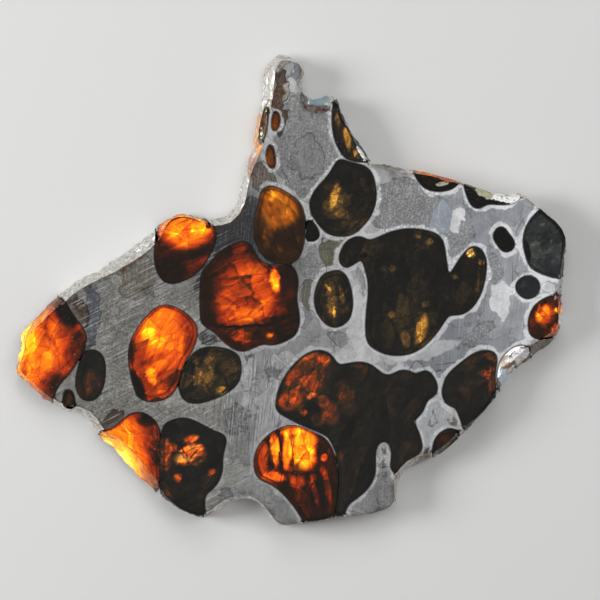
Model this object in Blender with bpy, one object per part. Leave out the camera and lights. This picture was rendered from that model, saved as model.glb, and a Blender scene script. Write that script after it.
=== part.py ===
"""A sawn and polished slice of a pallasite meteorite, lying on its back face.

Iron-nickel metal holds olivine crystals, which run through the slice or end in it. The slice has
flat sawn faces and a broken natural rim, which mostly slopes out from the front face to the back.
The origin is at the middle of the slice's box, on the back face; +Y points to the horn.
Outlines are given in millimetres from the middle of the slice, seen from the front face.
"""

import math

import bmesh
import bpy
from mathutils import Vector

MM = 0.001

# Driving dimensions of the slice
THICKNESS = 6.0 * MM
GAP = 0.3 * MM
OVERSHOOT = 0.2 * MM

# The rounded lower end of a crystal that stops inside the slice
SOCKET_ROUNDING = 0.25
SHOULDER_HEIGHT = 0.6 * MM

# How far apart points lie on a straight stretch of an outline, how much it may bend between
# them, and the shortest step in a tight bend
STRAIGHT_STEP = 3.8 * MM
BEND_STEP = math.radians(34)
SHORTEST_STEP = 0.9 * MM

# The rim, from the back face up: height as a share of the thickness, how far in from the widest
# line as a share of the rim's width, the same in metres, and how rough it is broken there
RIM_LEVELS = (
    (0.0, 0.0, 0.35 * MM, 0.12 * MM),
    (0.22, 0.0, 0.0, 0.0),
    (0.52, 0.32, 0.0, 0.30 * MM),
    (0.80, 0.72, 0.0, 0.22 * MM),
    (1.0, 1.0, 0.0, 0.0),
)

# The widest line of the slice, clockwise from the top of the horn: x, y, and the width of the
# sloping rim between it and the polished face there
SLICE_OUTLINE = (
    (-2.0, 47.7, 1.6), (0.0, 47.0, 1.2), (1.6, 46.4, 0.8), (3.0, 45.5, 0.8),
    (3.3, 44.0, 0.6), (2.8, 43.0, 0.6), (2.4, 41.4, 0.6), (2.6, 40.0, 0.9),
    (3.4, 39.0, 2.2), (4.6, 38.6, 3.2), (6.0, 39.0, 3.7), (7.8, 39.7, 3.6),
    (9.0, 39.0, 1.2), (10.2, 37.6, 0.6), (10.8, 34.6, 0.5), (12.0, 33.4, 0.6),
    (13.4, 30.8, 1.0), (15.0, 28.4, 1.1), (16.0, 26.8, 0.8), (16.4, 25.8, 0.6),
    (18.0, 25.6, 1.0), (20.2, 25.4, 1.4), (22.4, 25.0, 1.4), (24.6, 24.4, 0.8),
    (29.2, 23.3, 0.6), (32.2, 22.5, 0.6), (35.0, 21.6, 0.4), (37.8, 20.6, 0.4),
    (40.6, 19.6, 0.5), (44.0, 19.3, 0.6), (47.2, 19.5, 0.6), (48.6, 18.0, 0.4),
    (50.2, 16.7, 0.3), (51.8, 15.4, 0.4), (53.6, 14.0, 0.4), (55.3, 11.8, 0.4),
    (55.8, 9.8, 0.5), (55.4, 5.6, 1.0), (55.2, 2.0, 1.2), (54.9, -1.2, 1.2),
    (54.8, -4.4, 1.0), (54.8, -7.0, 1.0), (54.0, -9.0, 1.4), (52.6, -10.8, 2.0),
    (50.2, -12.6, 2.4), (48.0, -14.4, 2.4), (45.6, -16.2, 2.2), (43.6, -18.2, 1.9),
    (42.2, -20.6, 1.2), (41.0, -22.6, 0.6), (39.4, -24.4, 0.6), (37.4, -26.6, 0.8),
    (35.2, -28.8, 1.0), (33.0, -30.8, 1.1), (31.0, -32.4, 1.0), (29.4, -33.6, 1.0),
    (28.0, -34.2, 1.5), (26.0, -35.0, 1.8), (24.2, -35.8, 1.8), (22.8, -37.0, 1.6),
    (22.0, -38.6, 1.2), (21.7, -40.4, 0.7), (21.6, -42.2, 0.5), (21.0, -43.2, 0.4),
    (19.6, -44.2, 0.4), (17.2, -45.0, 0.4), (14.4, -45.5, 0.4), (12.2, -45.8, 0.4),
    (10.4, -45.7, 0.5), (8.0, -46.2, 0.5), (5.2, -46.8, 0.5), (2.0, -47.1, 0.4),
    (-1.2, -47.8, 0.6), (-2.8, -47.4, 0.6), (-4.0, -45.8, 0.5), (-5.2, -44.2, 0.6),
    (-6.6, -42.8, 0.8), (-8.2, -42.2, 0.9), (-10.0, -42.2, 1.0), (-12.0, -42.8, 1.2),
    (-13.6, -44.0, 1.4), (-15.4, -45.3, 1.2), (-17.6, -45.9, 0.6), (-20.0, -45.5, 0.6),
    (-22.4, -44.4, 0.8), (-24.8, -42.8, 0.8), (-27.0, -40.9, 1.6), (-28.8, -39.4, 2.6),
    (-31.4, -37.0, 3.0), (-33.8, -34.4, 3.0), (-35.6, -31.9, 2.6), (-38.0, -30.2, 2.0),
    (-40.0, -27.4, 2.0), (-42.0, -25.4, 2.0), (-44.8, -24.7, 1.4), (-47.6, -23.4, 1.2),
    (-50.0, -21.8, 1.4), (-52.4, -19.8, 1.6), (-54.8, -17.6, 1.4), (-55.5, -15.8, 1.2),
    (-54.8, -13.2, 1.4), (-54.4, -11.0, 1.4), (-54.6, -9.0, 1.6), (-53.2, -7.2, 1.8),
    (-50.8, -4.8, 1.8), (-48.0, -2.0, 2.0), (-45.0, 0.8, 2.2), (-42.0, 2.6, 2.0),
    (-38.0, 4.6, 2.0), (-34.0, 7.2, 2.6), (-30.0, 10.4, 2.8), (-27.0, 12.8, 2.2),
    (-24.8, 14.6, 0.8), (-22.0, 15.5, 0.6), (-19.0, 15.1, 0.8), (-16.8, 14.4, 1.0),
    (-14.4, 14.5, 1.6), (-12.4, 15.4, 1.8), (-10.8, 18.0, 1.8), (-9.8, 22.8, 1.6),
    (-8.6, 26.0, 1.8), (-7.8, 29.0, 2.2), (-7.0, 33.4, 2.2), (-6.0, 38.4, 2.4),
    (-5.6, 42.4, 2.4), (-5.0, 45.2, 2.2), (-3.6, 46.8, 2.0),
)

# Plain colours: red, green, blue, roughness, metallic
METAL_GREY = (0.62, 0.62, 0.61, 0.28, 1.0)
AMBER = (0.85, 0.33, 0.04, 0.12, 0.0)
ORANGE_BROWN = (0.42, 0.16, 0.04, 0.15, 0.0)
DARK_OLIVE = (0.06, 0.055, 0.035, 0.18, 0.0)
PALE = (0.80, 0.84, 0.84, 0.10, 0.0)

# Each crystal: its colour, how far it shrinks (or, below zero, grows) towards its lower end, how
# far that end leans in x and y, its depth in the slice (None where it runs right through), and
# its outline on the front face. Points past the slice's edge only say where the rim cuts it.
CRYSTALS = {
    "olivine_left_tip": (AMBER, 0.5, (0.3, 0.2), None, (
        (-44.8, -2.8), (-44.2, -4.0), (-43.2, -5.6), (-42.0, -7.0), (-41.0, -8.6),
        (-40.8, -10.0), (-41.2, -11.6), (-42.0, -13.2), (-43.1, -15.0), (-44.2, -16.8),
        (-45.8, -18.2), (-47.0, -20.0), (-47.7, -22.0), (-48.4, -25.0), (-52.0, -25.5),
        (-57.5, -21.0), (-59.0, -14.5), (-57.5, -7.0), (-53.0, -1.5), (-48.8, 0.8),
        (-46.4, -1.2),
    )),
    "olivine_left_oval": (DARK_OLIVE, 0.8, (0.3, -0.2), None, (
        (-40.0, -12.0), (-38.8, -12.2), (-37.8, -12.9), (-37.1, -14.3), (-37.0, -16.4),
        (-37.4, -19.2), (-38.4, -21.4), (-39.8, -22.2), (-41.2, -22.0), (-42.3, -20.9),
        (-42.8, -19.0), (-42.5, -16.6), (-41.9, -14.2), (-41.2, -12.7),
    )),
    "olivine_left_chip": (ORANGE_BROWN, 0.2, (0.0, 0.0), 3.2, (
        (-45.2, -21.0), (-44.6, -19.9), (-43.8, -19.8), (-43.3, -21.0), (-43.1, -22.8),
        (-43.7, -23.7), (-44.9, -23.5), (-45.4, -22.4),
    )),
    "olivine_left_middle": (AMBER, 0.7, (-0.3, 0.3), None, (
        (-26.0, -3.2), (-24.0, -3.2), (-22.4, -3.8), (-21.0, -4.6), (-19.8, -5.7),
        (-18.9, -7.0), (-18.6, -8.6), (-18.9, -10.4), (-20.2, -13.0), (-21.6, -15.2),
        (-22.3, -18.0), (-23.3, -20.4), (-24.8, -21.6), (-26.6, -22.2), (-28.6, -22.2),
        (-30.2, -21.4), (-31.2, -19.2), (-32.0, -15.4), (-32.2, -12.0), (-31.4, -9.4),
        (-30.0, -7.2), (-28.2, -5.0),
    )),
    "olivine_upper_left": (AMBER, 0.4, (0.2, -0.3), None, (
        (-26.8, 10.0), (-27.0, 8.0), (-27.0, 5.6), (-26.4, 3.4), (-25.2, 1.8),
        (-23.6, 1.3), (-21.6, 1.9), (-19.6, 2.8), (-18.0, 4.2), (-16.7, 6.2),
        (-15.5, 8.2), (-14.8, 10.4), (-15.2, 12.2), (-16.4, 13.6), (-17.8, 15.2),
        (-20.0, 17.8), (-24.5, 18.0), (-27.6, 15.8), (-27.2, 12.6),
    )),
    "olivine_centre_left": (AMBER, 0.6, (0.3, 0.0), None, (
        (-17.8, 0.6), (-17.6, 3.2), (-15.6, 5.6), (-13.6, 7.8), (-11.6, 8.9),
        (-8.9, 9.7), (-7.7, 8.6), (-6.8, 6.8), (-5.8, 5.5), (-4.2, 4.8),
        (-2.0, 4.8), (0.2, 4.8), (1.2, 3.4), (1.6, 1.4), (1.2, -0.6),
        (1.2, -2.4), (1.7, -4.6), (1.8, -6.6), (1.2, -8.6), (-0.4, -9.9),
        (-3.4, -10.9), (-5.4, -10.6), (-6.8, -11.2), (-8.6, -12.0), (-10.2, -12.2),
        (-12.0, -11.2), (-13.2, -10.3), (-14.6, -8.6), (-16.0, -7.6), (-17.5, -6.8),
        (-17.8, -4.6), (-17.9, -2.0),
    )),
    "olivine_neck": (ORANGE_BROWN, 0.7, (0.0, 0.3), None, (
        (-5.6, 20.0), (-4.4, 20.6), (-3.0, 20.6), (-1.4, 19.8), (0.6, 18.6),
        (2.0, 17.4), (2.7, 15.4), (3.0, 13.2), (2.7, 10.0), (2.3, 7.6),
        (1.2, 5.9), (-0.8, 5.3), (-3.0, 5.5), (-5.0, 6.6), (-6.3, 8.4),
        (-6.8, 10.0), (-7.1, 12.0), (-6.8, 14.6), (-6.2, 17.2),
    )),
    "olivine_left_dark": (DARK_OLIVE, 0.7, (0.0, -0.2), None, (
        (-18.4, -12.1), (-16.8, -11.5), (-14.8, -11.5), (-12.8, -11.8), (-11.2, -12.5),
        (-10.2, -13.4), (-9.8, -15.6), (-10.2, -18.0), (-11.4, -19.6), (-13.2, -20.8),
        (-15.6, -21.8), (-18.0, -22.5), (-20.0, -22.5), (-21.5, -21.4), (-22.1, -19.6),
        (-21.8, -17.8), (-21.1, -15.4), (-19.8, -13.3),
    )),
    "olivine_lower_left": (AMBER, 0.5, (-0.2, 0.3), None, (
        (-37.8, -28.4), (-36.0, -28.2), (-34.6, -27.4), (-33.4, -26.2), (-32.2, -25.0),
        (-31.0, -24.6), (-29.6, -24.6), (-28.2, -25.2), (-27.0, -26.3), (-26.2, -28.0),
        (-26.1, -30.0), (-26.3, -32.4), (-26.3, -35.0), (-26.2, -37.6), (-26.4, -40.4),
        (-27.0, -44.0), (-31.5, -43.0), (-37.0, -38.6), (-40.4, -33.4), (-39.6, -30.0),
    )),
    "olivine_lower_left_dark": (DARK_OLIVE, 0.5, (0.2, 0.2), None, (
        (-25.2, -27.2), (-23.6, -26.2), (-21.6, -25.7), (-19.6, -26.0), (-17.6, -27.1),
        (-15.2, -28.4), (-13.6, -28.8), (-12.8, -30.0), (-13.2, -31.6), (-13.7, -33.6),
        (-13.6, -36.0), (-14.2, -38.0), (-15.2, -39.4), (-16.8, -40.6), (-17.3, -42.0),
        (-17.2, -44.4), (-17.6, -47.8), (-21.8, -48.0), (-25.6, -46.4), (-25.9, -42.0),
        (-25.8, -38.0), (-25.9, -34.0), (-25.8, -30.4),
    )),
    "olivine_horn_right": (DARK_OLIVE, 0.3, (0.2, 0.0), None, (
        (8.8, 37.2), (8.5, 35.0), (8.6, 32.4), (9.0, 30.2), (9.8, 28.2),
        (11.0, 26.6), (12.4, 25.9), (14.0, 25.7), (15.6, 25.8), (17.8, 26.2),
        (18.0, 28.4), (15.8, 31.6), (13.4, 35.4), (12.2, 38.2), (10.6, 40.4),
        (9.2, 39.6),
    )),
    "olivine_neck_right": (DARK_OLIVE, 0.8, (-0.3, 0.2), None, (
        (9.4, 25.8), (10.4, 26.2), (11.6, 25.5), (13.4, 25.2), (15.2, 24.6),
        (16.4, 23.2), (17.0, 20.8), (17.2, 18.4), (16.8, 16.4), (16.0, 14.6),
        (14.6, 13.0), (13.2, 11.6), (11.8, 10.9), (10.0, 10.8), (8.2, 11.0),
        (6.8, 12.0), (5.6, 13.4), (4.4, 15.2), (4.0, 17.2), (4.6, 19.2),
        (6.0, 21.0), (7.6, 22.6), (8.6, 24.2),
    )),
    "olivine_neck_grain": (DARK_OLIVE, 0.3, (0.0, 0.0), 3.6, (
        (3.7, 14.0), (4.3, 13.9), (5.1, 12.7), (5.8, 11.7), (5.8, 10.7),
        (5.2, 9.9), (4.0, 9.7), (3.3, 10.6), (3.4, 12.4),
    )),
    "olivine_centre_oval": (DARK_OLIVE, 0.7, (0.2, -0.2), None, (
        (6.6, 3.0), (8.0, 3.6), (9.5, 3.9), (10.7, 3.4), (11.6, 2.0),
        (12.2, -0.2), (12.5, -2.4), (12.2, -5.0), (11.2, -6.4), (10.0, -7.2),
        (8.4, -7.4), (7.0, -6.6), (5.6, -4.8), (4.9, -2.6), (5.1, -0.2),
        (5.8, 1.8),
    )),
    "olivine_centre_group": (DARK_OLIVE, 0.9, (0.2, 0.0), None, (
        (16.0, 9.7), (18.4, 10.8), (21.4, 11.9), (24.4, 12.2), (27.4, 11.8),
        (29.2, 11.2), (30.4, 10.0), (31.0, 7.8), (31.2, 5.2), (31.9, 3.0),
        (33.6, 5.6), (35.2, 7.8), (36.7, 8.8), (38.2, 8.1), (39.1, 6.4),
        (39.2, 4.4), (38.8, 1.6), (38.0, -1.0), (36.7, -3.2), (34.9, -4.6),
        (33.1, -5.0), (31.6, -5.0), (30.2, -7.2), (28.4, -9.6), (26.2, -11.6),
        (24.0, -12.7), (21.6, -13.0), (19.2, -12.8), (17.0, -11.8), (15.6, -10.4),
        (15.2, -8.0), (15.4, -4.4), (15.8, -1.0), (15.8, 1.4), (15.2, 4.0),
        (14.5, 6.2), (13.4, 5.8), (12.2, 4.9), (10.8, 4.5), (9.9, 5.6),
        (10.2, 7.8), (11.2, 9.5), (12.4, 10.3), (13.8, 10.7), (15.0, 10.2),
    )),
    "olivine_lower_group": (DARK_OLIVE, 0.35, (0.0, 0.1), None, (
        (-2.6, -24.2), (-2.7, -22.2), (-2.1, -19.7), (-0.6, -16.8), (1.4, -14.4),
        (3.8, -12.6), (5.8, -12.1), (7.6, -12.6), (8.8, -13.8), (9.6, -15.2),
        (11.2, -14.9), (13.7, -14.5), (15.8, -14.8), (17.2, -15.8), (18.8, -17.2),
        (20.4, -17.1), (22.4, -16.0), (24.0, -16.4), (25.3, -17.0), (27.0, -16.0),
        (28.2, -16.8), (29.2, -18.4), (29.4, -20.2), (28.8, -21.2), (27.2, -22.0),
        (27.0, -23.2), (26.0, -25.0), (24.4, -26.2), (25.2, -27.4), (26.0, -29.6),
        (26.4, -31.6), (25.6, -32.8), (23.6, -33.8), (22.2, -35.0), (21.2, -36.4),
        (20.4, -36.4), (20.2, -35.0), (20.5, -33.0), (20.2, -31.0), (18.7, -30.0),
        (17.2, -31.2), (16.9, -33.4), (17.0, -36.4), (16.0, -39.0), (14.4, -40.8),
        (12.0, -42.4), (10.9, -44.0), (10.6, -46.0), (10.6, -48.6), (9.2, -48.6),
        (9.0, -46.0), (9.5, -42.6), (10.0, -38.8), (9.8, -35.2), (9.2, -32.0),
        (8.0, -29.6), (6.4, -28.5), (2.8, -27.1), (0.2, -25.8), (-1.4, -24.9),
    )),
    "olivine_lower_amber": (AMBER, 0.5, (0.2, 0.0), None, (
        (-2.4, -27.9), (-4.4, -29.2), (-6.2, -31.2), (-7.1, -33.4), (-7.0, -35.8),
        (-6.2, -37.6), (-3.9, -38.6), (-2.1, -39.8), (-0.6, -41.4), (0.7, -42.9),
        (2.0, -44.7), (2.9, -46.4), (3.8, -49.0), (7.9, -49.2), (8.5, -46.0),
        (9.0, -42.4), (9.5, -38.8), (9.3, -35.4), (8.6, -32.4), (7.4, -30.2),
        (5.8, -29.1), (3.0, -28.0), (1.6, -27.3), (0.2, -27.2), (-1.2, -27.5),
    )),
    "olivine_top_rim": (ORANGE_BROWN, 0.2, (0.0, -0.2), 4.2, (
        (25.1, 22.8), (26.0, 21.5), (27.1, 20.4), (29.2, 19.8), (31.2, 19.9),
        (32.9, 20.4), (33.6, 21.4), (33.8, 23.4), (31.4, 25.4), (27.4, 26.4),
        (24.8, 26.2), (24.6, 24.4),
    )),
    "olivine_top_corner": (ORANGE_BROWN, 0.2, (0.2, -0.1), 4.4, (
        (34.9, 20.8), (35.5, 18.8), (36.2, 17.1), (37.3, 16.3), (38.3, 16.6),
        (39.6, 17.4), (41.6, 17.2), (43.6, 17.2), (45.4, 17.8), (46.0, 19.2),
        (46.0, 21.4), (41.4, 22.4), (36.6, 23.8), (34.8, 22.8),
    )),
    "olivine_right_pair": (ORANGE_BROWN, 0.4, (0.0, 0.0), 4.0, (
        (42.4, 12.9), (43.2, 12.4), (43.5, 11.2), (44.4, 10.5), (45.0, 9.2),
        (44.6, 8.0), (43.4, 7.5), (42.2, 8.0), (41.5, 9.3), (40.8, 9.9),
        (40.7, 11.0), (41.3, 12.3),
    )),
    "olivine_right_round": (DARK_OLIVE, -0.4, (0.2, 0.2), None, (
        (45.2, 0.6), (45.7, 2.0), (47.0, 2.8), (48.6, 2.6), (49.8, 1.4),
        (49.9, -0.2), (49.0, -1.4), (47.5, -1.8), (46.0, -1.1),
    )),
    "olivine_right_edge": (DARK_OLIVE, 0.5, (0.2, 0.0), None, (
        (50.2, 16.2), (48.8, 14.8), (47.5, 13.2), (46.8, 11.2), (46.7, 9.4),
        (47.1, 7.4), (47.6, 5.6), (48.5, 4.3), (49.8, 3.6), (51.2, 3.0),
        (52.8, 2.6), (54.4, 2.4), (57.6, 2.4), (59.0, 8.0), (57.4, 13.6),
        (53.6, 17.8), (51.4, 17.6),
    )),
    "olivine_right_amber": (AMBER, 0.4, (0.0, 0.2), None, (
        (50.6, -1.9), (49.2, -2.9), (48.2, -4.4), (47.7, -6.4), (47.9, -8.4),
        (48.9, -9.6), (51.0, -9.8), (53.0, -9.6), (56.4, -10.2), (58.0, -6.0),
        (57.4, -1.0), (54.6, -0.7), (52.4, -1.2),
    )),
    "olivine_rim_clear": (PALE, 0.2, (0.0, 0.0), None, (
        (42.3, -14.0), (43.2, -12.7), (44.8, -11.5), (46.4, -11.0), (47.7, -11.4),
        (48.3, -12.8), (49.8, -15.4), (47.6, -18.4), (45.0, -21.6), (43.4, -23.4),
        (42.3, -22.0), (41.7, -19.4), (41.5, -17.0), (41.7, -15.3),
    )),
    "olivine_right_lower": (DARK_OLIVE, 0.5, (0.0, 0.2), None, (
        (30.6, -19.4), (31.6, -17.0), (33.6, -15.2), (35.8, -13.4), (37.6, -12.4),
        (39.4, -12.1), (40.9, -12.6), (41.4, -13.8), (41.0, -15.6), (40.9, -18.0),
        (41.1, -20.2), (41.5, -23.2), (41.6, -27.0), (39.2, -29.4), (36.6, -30.2),
        (35.2, -28.2), (34.4, -26.6), (33.7, -24.4), (33.1, -23.3), (32.0, -23.2),
        (31.0, -22.4), (30.5, -21.0),
    )),
    "olivine_right_rim_brown": (ORANGE_BROWN, 0.2, (0.0, 0.2), 4.2, (
        (28.6, -32.6), (28.8, -30.6), (29.6, -29.0), (31.0, -28.1), (32.6, -27.7),
        (33.9, -28.8), (35.6, -31.4), (33.4, -34.8), (30.4, -36.4), (28.6, -35.0),
    )),
    "olivine_horn_sliver_1": (AMBER, 0.2, (0.0, 0.0), 2.6, (
        (-3.0, 36.2), (-2.2, 35.4), (-2.0, 34.0), (-2.4, 32.4), (-3.0, 31.4),
        (-3.5, 32.2), (-3.6, 34.0),
    )),
    "olivine_horn_sliver_2": (AMBER, 0.2, (0.0, 0.0), 3.0, (
        (-5.0, 36.9), (-4.5, 36.2), (-4.5, 34.2), (-4.8, 32.0), (-5.4, 29.8),
        (-6.3, 29.6), (-6.3, 31.6), (-5.9, 34.0),
    )),
    "olivine_horn_sliver_3": (DARK_OLIVE, 0.2, (0.0, 0.0), 2.8, (
        (-4.0, 29.4), (-3.3, 28.4), (-3.1, 26.4), (-2.9, 24.8), (-3.6, 24.0),
        (-4.5, 25.4), (-4.7, 27.6),
    )),
}


def smooth_loop(points):
    """Points along a smooth closed curve through the given ones, closer where it bends."""
    corners = [Vector(tuple(value * MM for value in point)) for point in points]
    count = len(corners)
    fine = []
    for index in range(count):
        before, start, end, after = (corners[(index + k) % count] for k in (-1, 0, 1, 2))
        for part in range(12):
            t = part / 12
            fine.append(0.5 * (2 * start + (end - before) * t
                               + (2 * before - 5 * start + 4 * end - after) * t ** 2
                               + (3 * start - before - 3 * end + after) * t ** 3))
    reach = [0.0]
    for index, point in enumerate(fine):
        arriving = point.xy - fine[index - 1].xy
        leaving = fine[(index + 1) % len(fine)].xy - point.xy
        steps = leaving.length / STRAIGHT_STEP + arriving.angle(leaving) / BEND_STEP
        reach.append(reach[-1] + min(steps, leaving.length / SHORTEST_STEP))
    number = math.ceil(reach[-1])
    loop, index = [], 0
    for k in range(number):
        along = reach[-1] * k / number
        while reach[index + 1] < along:
            index += 1
        share = (along - reach[index]) / (reach[index + 1] - reach[index])
        loop.append(fine[index].lerp(fine[(index + 1) % len(fine)], share))
    return loop


def moved_out(loop, distances):
    """The loop with each point moved out, square to the curve, by its own distance."""
    area = sum(a.x * b.y - a.y * b.x for a, b in zip(loop, loop[1:] + loop[:1]))
    side = math.copysign(1.0, area)
    result = []
    for index, point in enumerate(loop):
        along = loop[(index + 1) % len(loop)].xy - loop[index - 1].xy
        out = Vector((along.y, -along.x)).normalized() * side
        result.append(point.xy + out * distances[index])
    return result


def loft(name, rings):
    """A closed mesh through rings of equally many points, given from the lowest up."""
    mesh = bmesh.new()
    loops = [[mesh.verts.new(point) for point in ring] for ring in rings]
    for low, high in zip(loops, loops[1:]):
        for index in range(len(low)):
            mesh.faces.new((low[index - 1], low[index], high[index], high[index - 1]))
    bmesh.ops.triangulate(mesh, faces=mesh.faces[:])
    mesh.faces.new(loops[0])
    mesh.faces.new(loops[-1])
    bmesh.ops.recalc_face_normals(mesh, faces=mesh.faces[:])
    data = bpy.data.meshes.new(name)
    mesh.to_mesh(data)
    mesh.free()
    return data


def at_height(loop, height):
    """The flat loop at a height above the back face."""
    return [(point.x, point.y, height) for point in loop]


def broken(index, level):
    """An uneven value from -1 to 1 for a point of the rim, the same each time."""
    slow = math.sin(0.9 * index + 2.3 * level)
    quick = math.sin(2.7 * index * (1 + 0.13 * level) + 1.1 * level)
    return 0.55 * slow + 0.45 * quick


def slice_mesh(name, centre):
    """The whole slice, metal and crystals, with its broken rim."""
    outline = smooth_loop(SLICE_OUTLINE)
    widths = [point.z for point in outline]
    flat = [point.xy - centre for point in outline]
    rings = []
    for level, (height, share, inset, roughness) in enumerate(RIM_LEVELS):
        inward = [-(share * width + inset) for width in widths]
        rough = [roughness * broken(k, level) for k in range(len(flat))]
        ring = moved_out(flat, [min(0.0, a + b) for a, b in zip(inward, rough)])
        rings.append(at_height(ring, height * THICKNESS))
    return loft(name, rings)


def crystal_mesh(name, outline, shrink, lean, depth, centre, grown):
    """One crystal, or its socket where grown is above zero, a little taller than the slice."""
    front = [point.xy - centre for point in smooth_loop(outline)]
    back = moved_out(front, [-shrink * MM] * len(front))
    back = [point + Vector(lean) * MM for point in back]
    front = moved_out(front, [grown] * len(front))
    back = moved_out(back, [grown] * len(back))
    top = at_height(front, THICKNESS + OVERSHOOT)
    if depth is None:
        return loft(name, [at_height(back, -OVERSHOOT), top])
    floor = THICKNESS - depth * MM - grown
    middle = sum(back, Vector((0.0, 0.0))) / len(back)
    tip = [point.lerp(middle, SOCKET_ROUNDING) for point in back]
    shoulder = floor + SHOULDER_HEIGHT
    return loft(name, [at_height(tip, floor), at_height(back, shoulder), top])


def material(name, finish):
    """A plain finish from its red, green, blue, roughness and metallic values."""
    red, green, blue, roughness, metallic = finish
    result = bpy.data.materials.new(name)
    result.use_nodes = True
    shader = result.node_tree.nodes["Principled BSDF"]
    shader.inputs["Base Color"].default_value = (red, green, blue, 1.0)
    shader.inputs["Roughness"].default_value = roughness
    shader.inputs["Metallic"].default_value = metallic
    result.diffuse_color = (red, green, blue, 1.0)
    return result


def add_object(name, data, collection):
    """A new object for the mesh, in the collection."""
    new = bpy.data.objects.new(name, data)
    collection.objects.link(new)
    return new


def add_cutter(name, data, collection):
    """An object that only shapes others."""
    new = add_object(name, data, collection)
    new.hide_render = True
    new.display_type = "WIRE"
    return new


def cut(target, operation, cutter=None, cutters=None):
    """A Boolean of the target with one cutter or with a collection of them."""
    boolean = target.modifiers.new(operation.lower(), "BOOLEAN")
    boolean.operation = operation
    boolean.solver = "EXACT"
    if cutter:
        boolean.object = cutter
    else:
        boolean.operand_type = "COLLECTION"
        boolean.collection = cutters


def build():
    """Make the slice: the metal with its sockets, and a crystal in each."""
    for old in list(bpy.data.objects):
        bpy.data.objects.remove(old, do_unlink=True)
    parts = bpy.data.collections.new("pallasite_slice")
    guides = bpy.data.collections.new("guides")
    sockets = bpy.data.collections.new("sockets")
    for collection in (parts, guides, sockets):
        bpy.context.scene.collection.children.link(collection)

    outline = smooth_loop(SLICE_OUTLINE)
    xs = [point.x for point in outline]
    ys = [point.y for point in outline]
    centre = Vector(((min(xs) + max(xs)) / 2, (min(ys) + max(ys)) / 2))

    whole = add_cutter("whole_slice", slice_mesh("whole_slice", centre), guides)
    metal = add_object("metal_matrix", slice_mesh("metal_matrix", centre), parts)
    metal.data.materials.append(material("iron_nickel", METAL_GREY))

    for name, (finish, shrink, lean, depth, points) in CRYSTALS.items():
        solid = crystal_mesh(name, points, shrink, lean, depth, centre, 0.0)
        solid.materials.append(material(name, finish))
        cut(add_object(name, solid, parts), "INTERSECT", cutter=whole)
        socket = name.replace("olivine", "socket")
        hollow = crystal_mesh(socket, points, shrink, lean, depth, centre, GAP)
        add_cutter(socket, hollow, sockets)
    cut(metal, "DIFFERENCE", cutters=sockets)


build()
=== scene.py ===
"""A slice of a pallasite meteorite on a pale floor, lit from above and by a pane under it.

Every piece is a finer copy of its CAD solid: the same faces and rim, with rounded outlines, a
rim broken into small chips, and crystals that fill their sockets. Lengths in the materials are
millimetres from the middle of the slice's back face; +Y points to the horn.
"""

import math

import bmesh
import bpy
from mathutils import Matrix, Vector, noise
from mathutils.bvhtree import BVHTree
from mathutils.geometry import delaunay_2d_cdt
from mathutils.kdtree import KDTree


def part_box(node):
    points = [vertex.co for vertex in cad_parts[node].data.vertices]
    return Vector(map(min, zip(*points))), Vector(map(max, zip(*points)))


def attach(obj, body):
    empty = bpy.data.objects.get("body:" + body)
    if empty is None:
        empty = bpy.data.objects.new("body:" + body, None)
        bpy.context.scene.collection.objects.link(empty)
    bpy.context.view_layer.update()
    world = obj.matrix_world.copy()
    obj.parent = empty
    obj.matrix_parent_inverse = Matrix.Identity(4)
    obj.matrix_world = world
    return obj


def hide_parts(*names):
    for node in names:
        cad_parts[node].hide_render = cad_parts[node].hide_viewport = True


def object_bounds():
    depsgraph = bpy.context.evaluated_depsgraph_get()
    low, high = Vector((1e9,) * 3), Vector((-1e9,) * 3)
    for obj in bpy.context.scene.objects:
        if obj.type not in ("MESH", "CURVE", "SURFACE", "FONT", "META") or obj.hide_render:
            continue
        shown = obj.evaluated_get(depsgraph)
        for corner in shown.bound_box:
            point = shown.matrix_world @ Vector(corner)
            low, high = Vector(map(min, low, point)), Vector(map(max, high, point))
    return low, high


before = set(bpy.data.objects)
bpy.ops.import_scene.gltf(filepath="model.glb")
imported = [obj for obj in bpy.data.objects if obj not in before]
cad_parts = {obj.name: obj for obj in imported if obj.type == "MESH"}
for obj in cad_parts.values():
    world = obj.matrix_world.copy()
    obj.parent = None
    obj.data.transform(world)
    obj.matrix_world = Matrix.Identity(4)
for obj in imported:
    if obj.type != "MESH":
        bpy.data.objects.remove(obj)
cad_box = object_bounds()


# The iron-nickel metal
# One body of metal that holds every crystal. Both faces are sawn and the front one is polished
# and etched; along the rim it is broken, with patches of rust.
MM = 0.001
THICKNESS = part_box("metal_matrix")[1].z
WELD = 0.002 * MM
FLAT = 0.01 * MM
FACE_STEP = 0.8 * MM
WALL_EDGE = 0.6 * MM
SHORT_BRIDGE = 0.3 * MM
RIM_EDGE = 0.5 * MM
LEVEL = 0.12 * MM
LEVEL_NORMAL = 0.99
TOWARDS_CORNERS = 0.6
SPLITTING_ROUNDS = 6
ROUNDING_STEPS = 10
ROUNDING_SHARE = 0.5
NEAREST_PIECE = 1.0 * MM
METAL_GROWTH = 0.12 * MM
CHIP_SIZE = 1.5 * MM
CHIP_DEPTH = 0.42 * MM
CHIP_STEEPNESS = 1.6
CHIP_SHARE = 0.5
LEAST_DEPTH = 0.35 * CHIP_DEPTH
GRAIN_SIZE = 2.6 * MM
GRAIN_DEPTH = 0.30 * MM
GRAIN_FRACTAL = (0.8, 2.1, 5)
OUTLINE_SHARE = 0.35
ROW_SHARE = math.sin(math.radians(60))
FACE_MARGIN = 0.6 * FACE_STEP
MERGING_LIMIT = 1e-5
SHARP_ANGLE = math.radians(38)
SAME_PLANE = math.radians(4)
FRONT, BACK, RIM, SOCKET, SOCKET_FLOOR = range(5)

solids = bmesh.new()
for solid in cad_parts.values():
    solids.from_mesh(solid.data)
solids_tree = BVHTree.FromBMesh(solids)
solids.free()


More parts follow.
